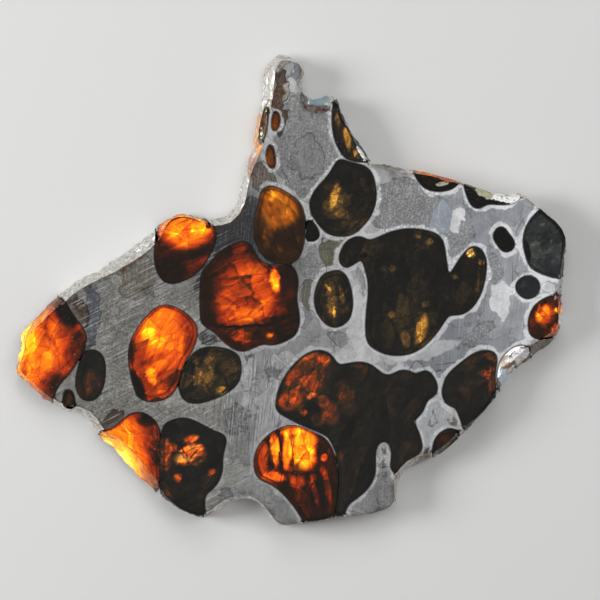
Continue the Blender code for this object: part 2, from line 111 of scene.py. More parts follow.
def add_object(name, data):
    """Put an object into the scene."""
    added = bpy.data.objects.new(name, data)
    bpy.context.scene.collection.objects.link(added)
    return added


def add_mesh(name, mesh):
    """Put a finished mesh into the scene."""
    data = bpy.data.meshes.new(name)
    mesh.to_mesh(data)
    mesh.free()
    return add_object(name, data)


def facing(face):
    """How much of a face looks at another piece close by."""
    centre = face.calc_center_median()
    points = [centre] + [centre.lerp(vert.co, TOWARDS_CORNERS) for vert in face.verts]
    hits = [solids_tree.ray_cast(point + face.normal * FLAT, face.normal, NEAREST_PIECE)[0]
            for point in points]
    return face.calc_area() * sum(hit is not None for hit in hits) / len(hits)


def name_regions(mesh):
    """Tell the sawn faces, the rim and the sockets' walls of a CAD solid apart."""
    for face in mesh.faces:
        height = face.calc_center_median().z
        if face.normal.z > LEVEL_NORMAL and abs(height - THICKNESS) < FLAT:
            face.material_index = FRONT
        elif face.normal.z < -LEVEL_NORMAL and abs(height) < FLAT:
            face.material_index = BACK
        else:
            face.material_index = RIM
    done = set()
    for first in mesh.faces:
        if first.material_index != RIM or first in done:
            continue
        stretch = [first]
        done.add(first)
        for face in stretch:
            for edge in face.edges:
                if edge.calc_face_angle(math.pi) < SAME_PLANE:
                    beyond = [other for other in edge.link_faces
                              if other not in done and other.material_index == RIM]
                    stretch += beyond
                    done.update(beyond)
        if sum(map(facing, stretch)) > 0.5 * sum(face.calc_area() for face in stretch):
            for face in stretch:
                face.material_index = SOCKET


def too_long(edge):
    """Whether an edge is longer than the detail there needs."""
    if any(face.material_index == RIM for face in edge.link_faces):
        return edge.calc_length() > RIM_EDGE
    return (edge.verts[0].co - edge.verts[1].co).xy.length > WALL_EDGE


def shorten_edges(mesh):
    """Split the long edges of the rim and of the sockets' walls until none is left."""
    for step in range(SPLITTING_ROUNDS):
        long_edges = [edge for edge in mesh.edges if too_long(edge)]
        if not long_edges:
            break
        bmesh.ops.subdivide_edges(mesh, edges=long_edges, cuts=1, use_grid_fill=True,
                                  use_single_edge=True)
        bmesh.ops.triangulate(mesh, faces=mesh.faces[:], quad_method="SHORT_EDGE",
                              ngon_method="EAR_CLIP")


def round_outlines(mesh):
    """Even out the corners of the outlines, on the faces' borders and down the sockets' walls."""
    walls = {}
    for vert in mesh.verts:
        if any(face.material_index in (RIM, SOCKET) for face in vert.link_faces):
            level = [edge.other_vert(vert) for edge in vert.link_edges
                     if abs(edge.other_vert(vert).co.z - vert.co.z) < LEVEL
                     and any(face.material_index in (RIM, SOCKET) for face in edge.link_faces)]
            if len(level) == 2:
                walls[vert] = level
    for step in range(ROUNDING_STEPS):
        places = {vert: (a.co.xy + b.co.xy) / 2 for vert, (a, b) in walls.items()}
        for vert, place in places.items():
            vert.co.xy = vert.co.xy.lerp(place, ROUNDING_SHARE)


def way_out(vert, where):
    """The mean direction in which the faces of one region look at a corner that they share."""
    total = sum((face.normal * face.calc_area() for face in vert.link_faces
                 if face.material_index == where), Vector())
    if vert.co.z > THICKNESS - FLAT or vert.co.z < FLAT:
        total.z = 0.0
    return total.normalized()


def grow_walls(mesh, distance):
    """Move the walls that face another piece out, except along the rim, to close the gap."""
    moves = {}
    for vert in mesh.verts:
        regions = {face.material_index for face in vert.link_faces}
        if SOCKET in regions and RIM not in regions:
            moves[vert] = way_out(vert, SOCKET) * distance
    for vert, move in moves.items():
        vert.co += move
        vert.co.z = min(max(vert.co.z, 0.0), THICKNESS)


def break_rim(mesh, solid_tree):
    """Chip the rim inwards, by an amount that depends only on the place."""
    moves = {}
    for vert in mesh.verts:
        if any(face.material_index == RIM for face in vert.link_faces):
            near, far = noise.voronoi(vert.co / CHIP_SIZE)[0][:2]
            chips = CHIP_DEPTH * min(1.0, CHIP_STEEPNESS * (far - near))
            grain = GRAIN_DEPTH * noise.fractal(vert.co / GRAIN_SIZE, *GRAIN_FRACTAL)
            depth = max(0.0, LEAST_DEPTH + grain + CHIP_SHARE * (CHIP_DEPTH - chips))
            if vert.co.z > THICKNESS - FLAT or vert.co.z < FLAT:
                depth *= OUTLINE_SHARE
            moves[vert] = way_out(vert, RIM) * -depth
    for vert, move in moves.items():
        surface, normal = solid_tree.find_nearest(vert.co + move)[:2]
        inwards = (vert.co + move - surface).dot(normal) < 0
        if inwards or vert.co.z > THICKNESS - FLAT or vert.co.z < FLAT:
            vert.co += move
            vert.co.z = min(max(vert.co.z, 0.0), THICKNESS)


def solid_side(triangles, walls, barred):
    """The triangles of the solid: each patch within barred edges counts the walls round it."""
    beside = {}
    for triangle in map(tuple, triangles):
        for pair in zip(triangle, triangle[1:] + triangle[:1]):
            beside[pair] = triangle
    patch_of = {}
    kept = []
    for first in dict.fromkeys(beside.values()):
        if first in patch_of:
            continue
        patch = [first]
        patch_of[first] = patch
        votes = 0
        for triangle in patch:
            for pair in zip(triangle, triangle[1:] + triangle[:1]):
                votes += (pair in walls) - (pair[::-1] in walls)
                over = beside.get(pair[::-1])
                if over and over not in patch_of and frozenset(pair) not in barred:
                    patch_of[over] = patch
                    patch.append(over)
        if votes > 0:
            kept += patch
    return kept


def close_flat(mesh, height):
    """Close a sawn face, with corners all over it for the shades that are stored with them."""
    border = [edge for edge in mesh.edges if len(edge.link_faces) == 1
              and all(abs(vert.co.z - height) < FLAT for vert in edge.verts)]
    if not border:
        return
    corners = list(dict.fromkeys(vert for edge in border for vert in edge.verts))
    number = {vert: index for index, vert in enumerate(corners)}
    near = KDTree(len(corners))
    for index, vert in enumerate(corners):
        near.insert(vert.co, index)
    near.balance()
    walls = []
    for edge in border:
        loop = edge.link_loops[0]
        pair = (number[loop.link_loop_next.vert], number[loop.vert])
        walls.append(pair if height > 0 else pair[::-1])
    points = [vert.co.xy / MM for vert in corners]
    low = Vector([min(vert.co[axis] for vert in corners) for axis in (0, 1)])
    high = Vector([max(vert.co[axis] for vert in corners) for axis in (0, 1)])
    for row in range(math.ceil((high.y - low.y) / (FACE_STEP * ROW_SHARE))):
        for column in range(math.ceil((high.x - low.x) / FACE_STEP)):
            along = FACE_STEP * (column + 0.5 * (row % 2))
            place = low + Vector((along, FACE_STEP * ROW_SHARE * row))
            if near.find((*place, height))[2] > FACE_MARGIN:
                points.append(place / MM)
    found = delaunay_2d_cdt(points, walls, [], 0, MERGING_LIMIT)
    output = {source[0]: index for index, source in enumerate(found[3]) if source}
    walls = {(output[a], output[b]) for a, b in walls}
    barred = {frozenset(edge) for edge, source in zip(found[1], found[4]) if source}
    placed = {output[index]: vert for index, vert in enumerate(corners)}
    for triangle in solid_side(found[2], walls, barred):
        for index in triangle:
            if index not in placed:
                placed[index] = mesh.verts.new((*(found[0][index] * MM), height))
        around = [placed[index] for index in triangle]
        face = mesh.faces.new(around if height > 0 else around[::-1])
        face.material_index = FRONT if height > 0 else BACK
    bridges = [edge for edge in mesh.edges if edge.calc_length() > SHORT_BRIDGE
               and all(vert in number for vert in edge.verts)
               and all(face.material_index in (FRONT, BACK) for face in edge.link_faces)]
    bmesh.ops.subdivide_edges(mesh, edges=bridges, cuts=1)
    bmesh.ops.triangulate(mesh, faces=[face for face in mesh.faces if len(face.verts) > 3])


def measure(mesh, name, where):
    """Store each corner's distance in millimetres from the faces of one region."""
    layer = mesh.verts.layers.float.new(name)
    mesh.verts.index_update()
    faces = [[vert.index for vert in face.verts] for face in mesh.faces
             if face.material_index == where]
    if not faces:
        return
    tree = BVHTree.FromPolygons([vert.co for vert in mesh.verts], faces)
    for vert in mesh.verts:
        vert[layer] = tree.find_nearest(vert.co)[3] / MM


def fine_copy(node, name, growth):
    """A finer copy of a CAD solid, with its outlines rounded and its rim broken."""
    mesh = bmesh.new()
    mesh.from_mesh(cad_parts[node].data)
    bmesh.ops.remove_doubles(mesh, verts=mesh.verts[:], dist=WELD)
    solid_tree = BVHTree.FromBMesh(mesh)
    name_regions(mesh)
    flat = [face for face in mesh.faces if face.material_index in (FRONT, BACK)]
    bmesh.ops.delete(mesh, geom=flat, context="FACES")
    shorten_edges(mesh)
    round_outlines(mesh)
    mesh.normal_update()
    grow_walls(mesh, growth)
    mesh.normal_update()
    break_rim(mesh, solid_tree)
    close_flat(mesh, THICKNESS)
    close_flat(mesh, 0.0)
    open_edges = [edge for edge in mesh.edges if len(edge.link_faces) == 1]
    bmesh.ops.triangle_fill(mesh, edges=open_edges, use_beauty=True)
    bmesh.ops.triangulate(mesh, faces=[face for face in mesh.faces if len(face.verts) > 3])
    measure(mesh, "wall", SOCKET)
    measure(mesh, "rim", RIM)
    mesh.normal_update()
    for face in mesh.faces:
        face.smooth = True
    for edge in mesh.edges:
        edge.smooth = edge.calc_face_angle(0.0) < SHARP_ANGLE
    piece = add_mesh(name, mesh)
    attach(piece, "root")
    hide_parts(node)
    return piece


class Signal:
    """A value, colour or vector from a shader node, for writing sums with."""

    def __init__(self, finish, socket):
        self.finish = finish
        self.socket = socket

    def maths(self, operation, first, second):
        settings = {"operation": operation}
        return self.finish.node("Math", settings, {0: first, 1: second})

    def __add__(self, other):
        return self.maths("ADD", self, other)

    def __sub__(self, other):
        return self.maths("SUBTRACT", self, other)

    def __rsub__(self, other):
        return self.maths("SUBTRACT", other, self)

    def __mul__(self, other):
        return self.maths("MULTIPLY", self, other)

    def __truediv__(self, other):
        return self.maths("DIVIDE", self, other)

    __radd__ = __add__
    __rmul__ = __mul__


SPOT_HEIGHT = 60.0
MIDDLE_GREY = (0.5, 0.5, 0.5)


class Finish:
    """A material that is put together from shader nodes."""

    def __init__(self, name):
        self.material = bpy.data.materials.new(name)
        self.material.use_nodes = True
        self.tree = self.material.node_tree
        self.tree.nodes.clear()
        scale = {"operation": "SCALE"}
        place = self.node("TexCoord", output="Object")
        self.place = self.node("VectorMath", scale, {0: place, "Scale": 1 / MM})

    def node(self, kind, settings=None, sockets=None, output=0):
        """Add a node: its settings, then the values or links of its sockets."""
        new = self.tree.nodes.new("ShaderNode" + kind)
        for key, value in (settings or {}).items():
            if key == "stops":
                marks = new.color_ramp.elements
                while len(marks) < len(value):
                    marks.new(1.0)
                for mark, (position, colour) in zip(marks, value):
                    mark.position = position
                    mark.color = (*colour, 1.0)
            else:
                setattr(new, key, value)
        for key, value in (sockets or {}).items():
            if isinstance(value, Signal):
                self.tree.links.new(value.socket, new.inputs[key])
            else:
                new.inputs[key].default_value = value
        return Signal(self, new.outputs[output]) if new.outputs else None

    def noise(self, size, detail=3.0, roughness=0.55, place=None, distortion=0.0):
        """Cloudy values from 0 to 1 whose patches are about one size, in millimetres."""
        sockets = {"Vector": place or self.place, "Scale": 1 / size, "Detail": detail,
                   "Roughness": roughness, "Distortion": distortion}
        return self.node("TexNoise", None, sockets, "Fac")

    def stretched(self, turn, length, width):
        """Places drawn out along a direction, for streaks of about that length and width."""
        settings = {"vector_type": "TEXTURE"}
        sockets = {"Vector": self.place, "Rotation": (0.0, 0.0, math.radians(turn)),
                   "Scale": (length, width, width)}
        return self.node("Mapping", settings, sockets, "Vector")

    def spot(self, x, y, across, along, turn=0.0, place=None):
        """A soft round or oval spot through the slice: 1 in its middle and 0 at its edge."""
        settings = {"vector_type": "TEXTURE"}
        sockets = {"Vector": place or self.place, "Location": (x, y, THICKNESS / MM / 2),
                   "Rotation": (0.0, 0.0, math.radians(turn)),
                   "Scale": (across, along, SPOT_HEIGHT)}
        inside = self.node("Mapping", settings, sockets, "Vector")
        return self.node("TexGradient", {"gradient_type": "SPHERICAL"}, {"Vector": inside}, "Fac")

    def between(self, value, low, high, start=0.0, end=1.0):
        """The value spread smoothly from start, at low, to end, at high."""
        settings = {"interpolation_type": "SMOOTHSTEP"}
        sockets = {"Value": value, "From Min": low, "From Max": high, "To Min": start,
                   "To Max": end}
        return self.node("MapRange", settings, sockets)

    def ramp(self, value, stops):
        """A colour for each value."""
        return self.node("ValToRGB", {"stops": stops}, {"Fac": value}, "Color")

    def mix(self, share, first, second, blend="MIX"):
        """Two colours mixed."""
        settings = {"data_type": "RGBA", "blend_type": blend}
        colours = [value if isinstance(value, Signal) else (*value, 1.0)
                   for value in (first, second)]
        sockets = {0: share, 6: colours[0], 7: colours[1]}
        return self.node("Mix", settings, sockets, 2)

    def bump(self, height, strength, distance):
        """Normals for a height in millimetres."""
        sockets = {"Height": height, "Strength": strength, "Distance": distance * MM}
        return self.node("Bump", None, sockets, "Normal")

    def attribute(self, name):
        """A distance that was stored with the mesh."""
        return self.node("Attribute", {"attribute_name": name}, None, "Fac")

    def close(self, surface, volume=None):
        """Finish the material with its surface and what fills it."""
        sockets = {"Surface": surface}
        if volume:
            sockets["Volume"] = volume
        self.node("OutputMaterial", None, sockets)
        return self.material


KAMACITE = (0.41, 0.41, 0.415)
DULL_KAMACITE = (0.40, 0.392, 0.36)
COOL_KAMACITE = (0.29, 0.30, 0.325)
BRIGHT = (0.72, 0.72, 0.74)
PLESSITE = (0.25, 0.25, 0.255)
BLUISH = (0.34, 0.38, 0.45)
SLATE = (0.20, 0.21, 0.24)
OLIVE = (0.155, 0.15, 0.105)
TAN = (0.20, 0.17, 0.125)
BEIGE = (0.46, 0.42, 0.34)
BROWN = (0.11, 0.06, 0.035)
RUST = (0.30, 0.10, 0.025)
DARK = (0.055, 0.055, 0.06)
NAVY = (0.03, 0.045, 0.10)
OUTLINE_BLACK = (0.02, 0.02, 0.02)

# Noises: size, detail and roughness
FINE_NOISE = (0.5, 3.0, 0.75)
MOTTLE_NOISE = (3.0, 5.0, 0.65)
STREAK_NOISE = (1.0, 3.0, 0.6)
RIM_NOISE = (0.7, 6.0, 0.7)
PATCH_NOISE = (3.5, 4.0, 0.6)
# Spots: x, y, half the width and height. Saw marks: turn in degrees, length and width
GLOOMY_SPOT = (-9.0, 5.5, 14.0, 17.0)
MIDDLE_MARKS = (-8.4, -21.6, 9.0, 14.0)
LOW_MARKS = (-8.6, -37.0, 4.4, 4.4)
SLANTING_MARKS = (27.0, 9.0, 0.28)
UPRIGHT_MARKS = (84.0, 7.0, 0.30)
# Steps: where they start and end, and for some which values they run between
LEFT_PART = (-6.0, -20.0)
RIGHT_PART = (14.0, 30.0)
FRESH_BAND = (0.60, 1.0, 0.75, 0.0)
CELL_LINES = (0.004, 0.016, 0.35, 0.0)
BRIGHT_STREAKS = (0.51, 0.66)
DARK_STREAKS = (0.48, 0.32)
RUSTY_EDGE = (2.4, 1.2, 0.0, 0.5)
SOCKET_LINE = (0.08, 0.26, 0.85, 0.0)
FACE_ROUGHNESS = (0.3, 0.7, 0.30, 0.44)
RIM_ROUGHNESS = (0.3, 0.7, 0.50, 0.34)
RUST_PATCHES = (0.55, 0.66)
# Tones for each value, and the strength and depth of each relief
CELL_TONES = ((0.0, (0.84, 0.84, 0.85)), (1.0, (1.16, 1.16, 1.14)))
DOT_TONES = ((0.34, (0.45, 0.45, 0.45)), (0.52, (0.95, 0.95, 0.95)), (0.68, (1.9, 1.9, 1.9)))
CLOUD_TONES = ((0.3, (0.80, 0.80, 0.80)), (0.7, (1.18, 1.18, 1.16)))
RIM_TONES = ((0.3, (0.22, 0.20, 0.17)), (0.46, (0.66, 0.64, 0.60)), (0.62, (0.95, 0.94, 0.92)))
SOCKET_TONES = ((0.3, (0.66, 0.63, 0.58)), (0.7, (0.93, 0.91, 0.88)))
FACE_RELIEF = (0.25, 0.1)
RIM_RELIEF = (0.6, 0.35)
# The grid of grains, its bends, and the grains that stay unbent
CELL_SIZE = 8.0
BEND_REACH = 5.0
LINE_WIDTH = 0.16
THIN_GRAIN = 0.3

# Grains and stains of the etched face, and one painted highlight: x, y, half the width and
# height, turn in degrees, colour, how much of that colour, how dark the line round it is, and
# how speckled it is
GRAINS = (
    (22.6, 16.4, 7.2, 6.4, 0, PLESSITE, 0.9, 0.5, 1.0),
    (33.4, 8.6, 3.2, 7.4, -6, PLESSITE, 0.7, 0.4, 0.9),
    (30.0, 14.4, 2.6, 3.8, 0, BLUISH, 0.6, 0.4, 0.3),
    (33.0, 14.0, 1.4, 2.8, 0, BRIGHT, 0.8, 0.6, 0.2),
    (36.6, 17.4, 2.8, 2.2, 20, PLESSITE, 0.5, 0.3, 0.8),
    (40.6, 5.2, 2.0, 3.4, 0, PLESSITE, 0.7, 0.3, 0.9),
    (42.0, -2.0, 2.3, 4.4, 0, BRIGHT, 0.8, 0.5, 0.1),
    (37.0, -9.0, 4.6, 1.7, 35, PLESSITE, 0.8, 0.4, 1.0),
    (46.4, 8.0, 1.6, 6.6, 0, KAMACITE, 0.2, 0.5, 0.3),
    (25.4, -15.6, 1.9, 1.5, 0, KAMACITE, 0.5, 0.7, 0.1),
    (51.4, 0.8, 1.5, 1.8, 10, BRIGHT, 0.5, 0.5, 0.0),
    (30.0, -16.3, 1.9, 0.4, 0, NAVY, 0.7, 0.0, 0.0),
    (31.8, -14.6, 4.6, 0.2, 8, DARK, 0.6, 0.0, 0.0),
    (18.6, -14.2, 0.2, 1.5, 15, DARK, 0.6, 0.0, 0.0),
    (44.4, 2.4, 0.2, 4.8, 0, DARK, 0.6, 0.0, 0.0),
    (2.8, -5.4, 1.7, 2.0, 0, SLATE, 0.5, 0.5, 0.3),
    (-1.2, -13.8, 2.6, 2.4, 10, BRIGHT, 0.4, 0.5, 0.6),
    (-8.6, -16.2, 1.6, 3.8, 0, BRIGHT, 0.6, 0.5, 0.1),
    (10.6, -9.8, 3.8, 1.7, -10, PLESSITE, 0.6, 0.5, 0.6),
    (13.8, 1.4, 1.5, 4.6, -8, PLESSITE, 0.4, 0.5, 0.2),
    (-10.8, -25.8, 2.8, 3.6, 0, SLATE, 0.4, 0.4, 0.9),
    (-3.6, -17.4, 1.7, 2.2, 20, SLATE, 0.35, 0.4, 0.8),
    (28.0, -26.2, 4.0, 5.0, 0, BRIGHT, 0.45, 0.4, 0.2),
    (28.4, -25.8, 0.7, 1.7, -15, BRIGHT, 0.1, 0.7, 0.0),
    (16.4, -40.4, 4.6, 4.2, 0, PLESSITE, 0.6, 0.5, 0.6),
    (14.8, -42.6, 3.4, 2.2, 20, KAMACITE, 0.5, 0.5, 0.2),
    (3.4, -27.4, 4.8, 2.0, 0, PLESSITE, 0.6, 0.5, 0.2),
    (-1.2, -26.2, 1.5, 1.5, 0, SLATE, 0.7, 0.4, 0.0),
    (4.0, 5.8, 2.4, 3.4, 0, PLESSITE, 0.5, 0.3, 0.9),
    (9.0, 7.4, 3.2, 4.6, -25, OLIVE, 0.95, 0.5, 0.5),
    (3.8, -1.2, 2.2, 3.6, 10, OLIVE, 0.85, 0.5, 0.3),
    (2.8, 19.0, 2.3, 1.2, 0, OLIVE, 0.8, 0.5, 0.0),
    (18.6, -33.0, 1.8, 3.2, 0, OLIVE, 0.85, 0.5, 0.2),
    (32.8, -25.6, 1.1, 2.1, 0, TAN, 0.8, 0.4, 0.0),
    (27.4, -32.0, 0.9, 1.0, 0, DARK, 0.8, 0.3, 0.0),
    (-30.4, 2.8, 4.0, 5.2, 0, TAN, 0.6, 0.4, 0.3),
    (-39.8, -4.6, 1.8, 5.6, 0, SLATE, 0.95, 0.4, 0.0),
    (-43.0, -3.6, 1.8, 4.2, 25, BROWN, 0.8, 0.7, 0.4),
    (-40.0, -11.0, 1.1, 1.0, 0, DARK, 1.0, 0.0, 0.0),
    (-15.8, -9.4, 2.6, 2.0, 0, DARK, 0.9, 0.6, 0.0),
    (-35.8, -26.2, 3.8, 1.6, 35, BROWN, 0.85, 0.5, 0.2),
    (-33.4, 3.6, 0.25, 3.4, 5, RUST, 0.8, 0.0, 0.0),
    (-31.0, 6.2, 2.6, 0.25, 15, RUST, 0.8, 0.0, 0.0),
    (-28.6, 0.6, 3.0, 0.3, 27, DARK, 0.6, 0.0, 0.0),
    (-23.2, 0.8, 0.2, 0.9, 0, DARK, 0.7, 0.0, 0.0),
    # Painted highlight: a bright band along the rim of the bottom notch, where the lamps light it
    (-9.4, -41.4, 4.6, 0.9, -6, BRIGHT, 0.8, 0.3, 0.0),
    (-12.8, -40.6, 2.0, 1.2, 0, SLATE, 0.6, 0.4, 0.0),
    (-9.0, -21.0, 1.2, 2.6, 8, BRIGHT, 0.6, 0.0, 0.4),
    (-10.6, 12.4, 7.4, 4.6, 40, DARK, 0.85, 0.2, 0.7),
    (-14.6, 5.2, 2.0, 7.0, -35, DARK, 0.7, 0.2, 0.4),
    (-4.0, 8.4, 5.0, 2.4, -20, DARK, 0.7, 0.2, 0.4),
    (13.4, -6.0, 2.0, 8.6, 4, BRIGHT, 0.7, 0.2, 0.1),
    (13.4, -12.6, 5.6, 3.4, 20, BRIGHT, 0.55, 0.2, 0.1),
    (26.6, -12.2, 8.4, 1.8, 8, BRIGHT, 0.5, 0.2, 0.0),
    (-4.4, -24.0, 2.6, 7.2, -10, BRIGHT, 0.5, 0.4, 0.0),
    (-24.4, 20.4, 4.0, 1.4, 10, DARK, 0.6, 0.2, 0.4),
    (-11.0, -13.0, 3.6, 1.6, 0, DARK, 0.7, 0.2, 0.4),
    (3.4, 29.0, 6.6, 11.0, 0, PLESSITE, 0.75, 0.3, 0.9),
    (-1.8, 46.2, 2.6, 1.7, 20, BEIGE, 0.85, 0.8, 0.4),
    (1.4, 44.2, 1.2, 2.0, 0, SLATE, 0.7, 0.6, 0.2),
    (0.4, 41.4, 1.8, 2.0, 0, BRIGHT, 0.7, 0.7, 0.0),
    (-2.2, 37.8, 1.4, 7.0, 2, BROWN, 0.9, 0.9, 1.0),
    (-0.9, 40.0, 0.8, 2.2, 0, BEIGE, 0.8, 0.9, 0.3),
    (-5.6, 22.6, 2.6, 3.4, 0, BROWN, 0.7, 0.6, 1.0),
    (3.4, 26.2, 3.4, 4.8, 0, PLESSITE, 0.45, 0.7, 0.6),
    (-1.0, 22.8, 0.2, 2.9, 31, DARK, 0.8, 0.0, 0.0),
)


def etched_metal():
    """Etched grains with dark borders, fine saw marks, and a bright band round the crystals."""
    metal = Finish("etched_metal")
    across = metal.node("SeparateXYZ", None, {0: metal.place}, 0)
    left = metal.between(across + metal.noise(9.0) * 16.0 - 8.0, *LEFT_PART)
    wall = metal.attribute("wall")
    grain = metal.noise(*FINE_NOISE)
    mottle = metal.noise(*MOTTLE_NOISE)
    bend = metal.node("TexNoise", None, {"Vector": metal.place, "Scale": 0.3, "Detail": 4.0},
                      "Color")
    bend = metal.node("VectorMath", {"operation": "SUBTRACT"}, {0: bend, 1: MIDDLE_GREY})
    bend = metal.node("VectorMath", {"operation": "SCALE"}, {0: bend, "Scale": BEND_REACH})
    wavy = metal.node("VectorMath", {"operation": "ADD"}, {0: metal.place, 1: bend})
    right = metal.between(across + metal.noise(9.0) * 12.0 - 6.0, *RIGHT_PART)
    colour = metal.mix(left, metal.mix(right, KAMACITE, COOL_KAMACITE), DULL_KAMACITE)
    cells = {"Vector": wavy, "Scale": 1 / CELL_SIZE, "Randomness": 1.0}
    border = metal.node("TexVoronoi", {"feature": "DISTANCE_TO_EDGE"}, cells, 0)
    tone = metal.node("TexVoronoi", {"feature": "F1"}, cells, "Color")
    tone = metal.ramp(metal.node("SeparateColor", None, {0: tone}, 0), CELL_TONES)
    colour = metal.mix(1.0, colour, tone, "MULTIPLY")
    lines = metal.between(border, *CELL_LINES)
    speckle = left * 0.35
    for x, y, wide, high, turn, shade, share, line, specks in GRAINS:
        place = wavy if min(wide, high) > THIN_GRAIN else metal.place
        depth = metal.spot(x, y, wide, high, turn, place)
        thin = LINE_WIDTH / min(wide, high)
        inside = metal.between(depth, 0.0, thin)
        colour = metal.mix(inside * share, colour, shade)
        if line:
            edge = metal.between(depth, thin, 2.2 * thin, line, 0.0)
            lines = lines * (1 - inside) + edge * inside
        if specks:
            speckle = speckle * (1 - inside) + inside * specks
    gloom = metal.between(metal.spot(*GLOOMY_SPOT, 0.0, wavy), 0.0, 0.35)
    fresh = metal.between(wall + metal.noise(3.2) * 2.8 - 1.4, *FRESH_BAND)
    colour = metal.mix(fresh * (1 - left * 0.8) * (1 - gloom), colour, BRIGHT)
    colour = metal.mix(gloom * metal.between(mottle, 0.35, 0.65, 0.45, 0.85), colour, DARK)
    dots = metal.ramp(grain, DOT_TONES)
    colour = metal.mix(speckle * 0.6 + 0.12, colour, metal.mix(1.0, colour, dots, "MULTIPLY"))
    colour = metal.mix(1.0, colour, metal.ramp(mottle, CLOUD_TONES), "MULTIPLY")
    slant = metal.noise(*STREAK_NOISE, metal.stretched(*SLANTING_MARKS))
    upright = metal.noise(*STREAK_NOISE, metal.stretched(*UPRIGHT_MARKS))
    middle = metal.between(metal.spot(*MIDDLE_MARKS), 0.0, 0.4)
    low = metal.between(metal.spot(*LOW_MARKS), 0.0, 0.4)
    streaks = slant * (left * (1 - middle) + low * 0.9) + upright * (middle + 0.25)
    streaks = streaks / (left * (1 - middle) + low * 0.9 + middle + 0.25)
    marked = metal.between(left + middle + low, 0.0, 1.0, 0.2, 1.0)
    marked = marked * metal.between(mottle, 0.35, 0.6)
    colour = metal.mix(metal.between(streaks, *BRIGHT_STREAKS) * marked, colour, BRIGHT)
    colour = metal.mix(metal.between(streaks, *DARK_STREAKS) * marked * 0.7, colour, DARK)
    colour = metal.mix(lines, colour, DARK)
    stain = metal.between(metal.attribute("rim") + mottle * 3.0, *RUSTY_EDGE)
    colour = metal.mix(stain, colour, BROWN)
    # Darker along the crystals' outlines
    colour = metal.mix(metal.between(wall, *SOCKET_LINE), colour, OUTLINE_BLACK)
    height = grain * 0.3 + streaks * 0.5
    sockets = {"Base Color": colour, "Metallic": 1.0,
               "Roughness": metal.between(grain, *FACE_ROUGHNESS),
               "Normal": metal.bump(height, *FACE_RELIEF)}
    return metal.close(metal.node("BsdfPrincipled", None, sockets))


# Stains of the broken rim: x, y, half the width and height, colour, and how much of it
RIM_STAINS = (
    (2.6, 38.2, 1.0, 2.6, (0.04, 0.03, 0.025), 0.9),
    (5.2, 36.0, 3.8, 1.7, (0.05, 0.010, 0.006), 1.0),
    (5.6, 38.3, 2.4, 1.5, (0.34, 0.55, 0.60), 1.0),
    (9.8, 36.8, 1.2, 2.6, (0.10, 0.10, 0.09), 0.8),
    (-6.4, 31.0, 1.3, 5.4, (0.80, 0.30, 0.02), 0.8),
    (-7.6, 24.0, 1.3, 4.0, (0.40, 0.10, 0.02), 0.7),
    (27.6, 23.8, 2.6, 1.6, (0.75, 0.24, 0.03), 0.9),
    (32.6, 22.0, 3.4, 1.6, (0.30, 0.06, 0.03), 0.8),
    (19.4, 24.6, 3.6, 1.8, (0.10, 0.12, 0.09), 0.7),
    (51.0, -10.6, 4.6, 3.4, (0.10, 0.045, 0.025), 0.95),
    (40.0, -27.0, 6.0, 4.0, (0.12, 0.10, 0.09), 0.7),
    (29.0, -36.0, 5.0, 6.0, (0.14, 0.13, 0.12), 0.6),
)


def broken_metal():
    """The rough rim, bright in places, partly as fresh metal and partly as painted highlight, with
    patches of rust and dark oxide.
    """
    metal = Finish("broken_metal")
    grain = metal.noise(*RIM_NOISE)
    patches = metal.noise(*PATCH_NOISE)
    rust = metal.between(patches, *RUST_PATCHES)
    # The brightest rim tones are partly painted highlight, standing in for the lamps' light on the
    # rim
    colour = metal.mix(rust * 0.7, metal.ramp(grain, RIM_TONES), RUST)
    for x, y, wide, high, shade, share in RIM_STAINS:
        inside = metal.between(metal.spot(x, y, wide, high), 0.0, 0.3, 0.0, share)
        inside = inside * metal.between(grain, 0.30, 0.50, 1.0, 0.75)
        colour = metal.mix(inside, colour, shade)
    sockets = {"Base Color": colour, "Metallic": metal.between(patches, *RUST_PATCHES, 0.9, 0.4),
               "Roughness": metal.between(grain, *RIM_ROUGHNESS),
               "Normal": metal.bump(grain, *RIM_RELIEF)}
    return metal.close(metal.node("BsdfPrincipled", None, sockets))


DARK_TOP_START = 0.6
DARK_TOP_END = 0.2


def socket_metal(name, roughness):
    """Clean metal behind the crystals, which throws light back to them; its top edge is dark."""
    metal = Finish(name)
    height = metal.node("SeparateXYZ", None, {0: metal.place}, "Z")
    # The walls are darker towards their top edge
    dark_top = metal.between(height, THICKNESS / MM - DARK_TOP_START, THICKNESS / MM - DARK_TOP_END)
    colour = metal.mix(dark_top, metal.ramp(metal.noise(1.2), SOCKET_TONES), (0.03, 0.03, 0.03))
    sockets = {"Base Color": colour, "Metallic": 1.0, "Roughness": roughness}
    return metal.close(metal.node("BsdfPrincipled", None, sockets))


metal_piece = fine_copy("metal_matrix", "etched_metal_body", METAL_GROWTH)
face_finish = etched_metal()
for finish in (face_finish, face_finish, broken_metal(),
               socket_metal("socket_wall", 0.2), socket_metal("socket_floor", 0.6)):
    metal_piece.data.materials.append(finish)
for face in metal_piece.data.polygons:
    if face.material_index == SOCKET and face.normal.z > 0.5:
        face.material_index = SOCKET_FLOOR


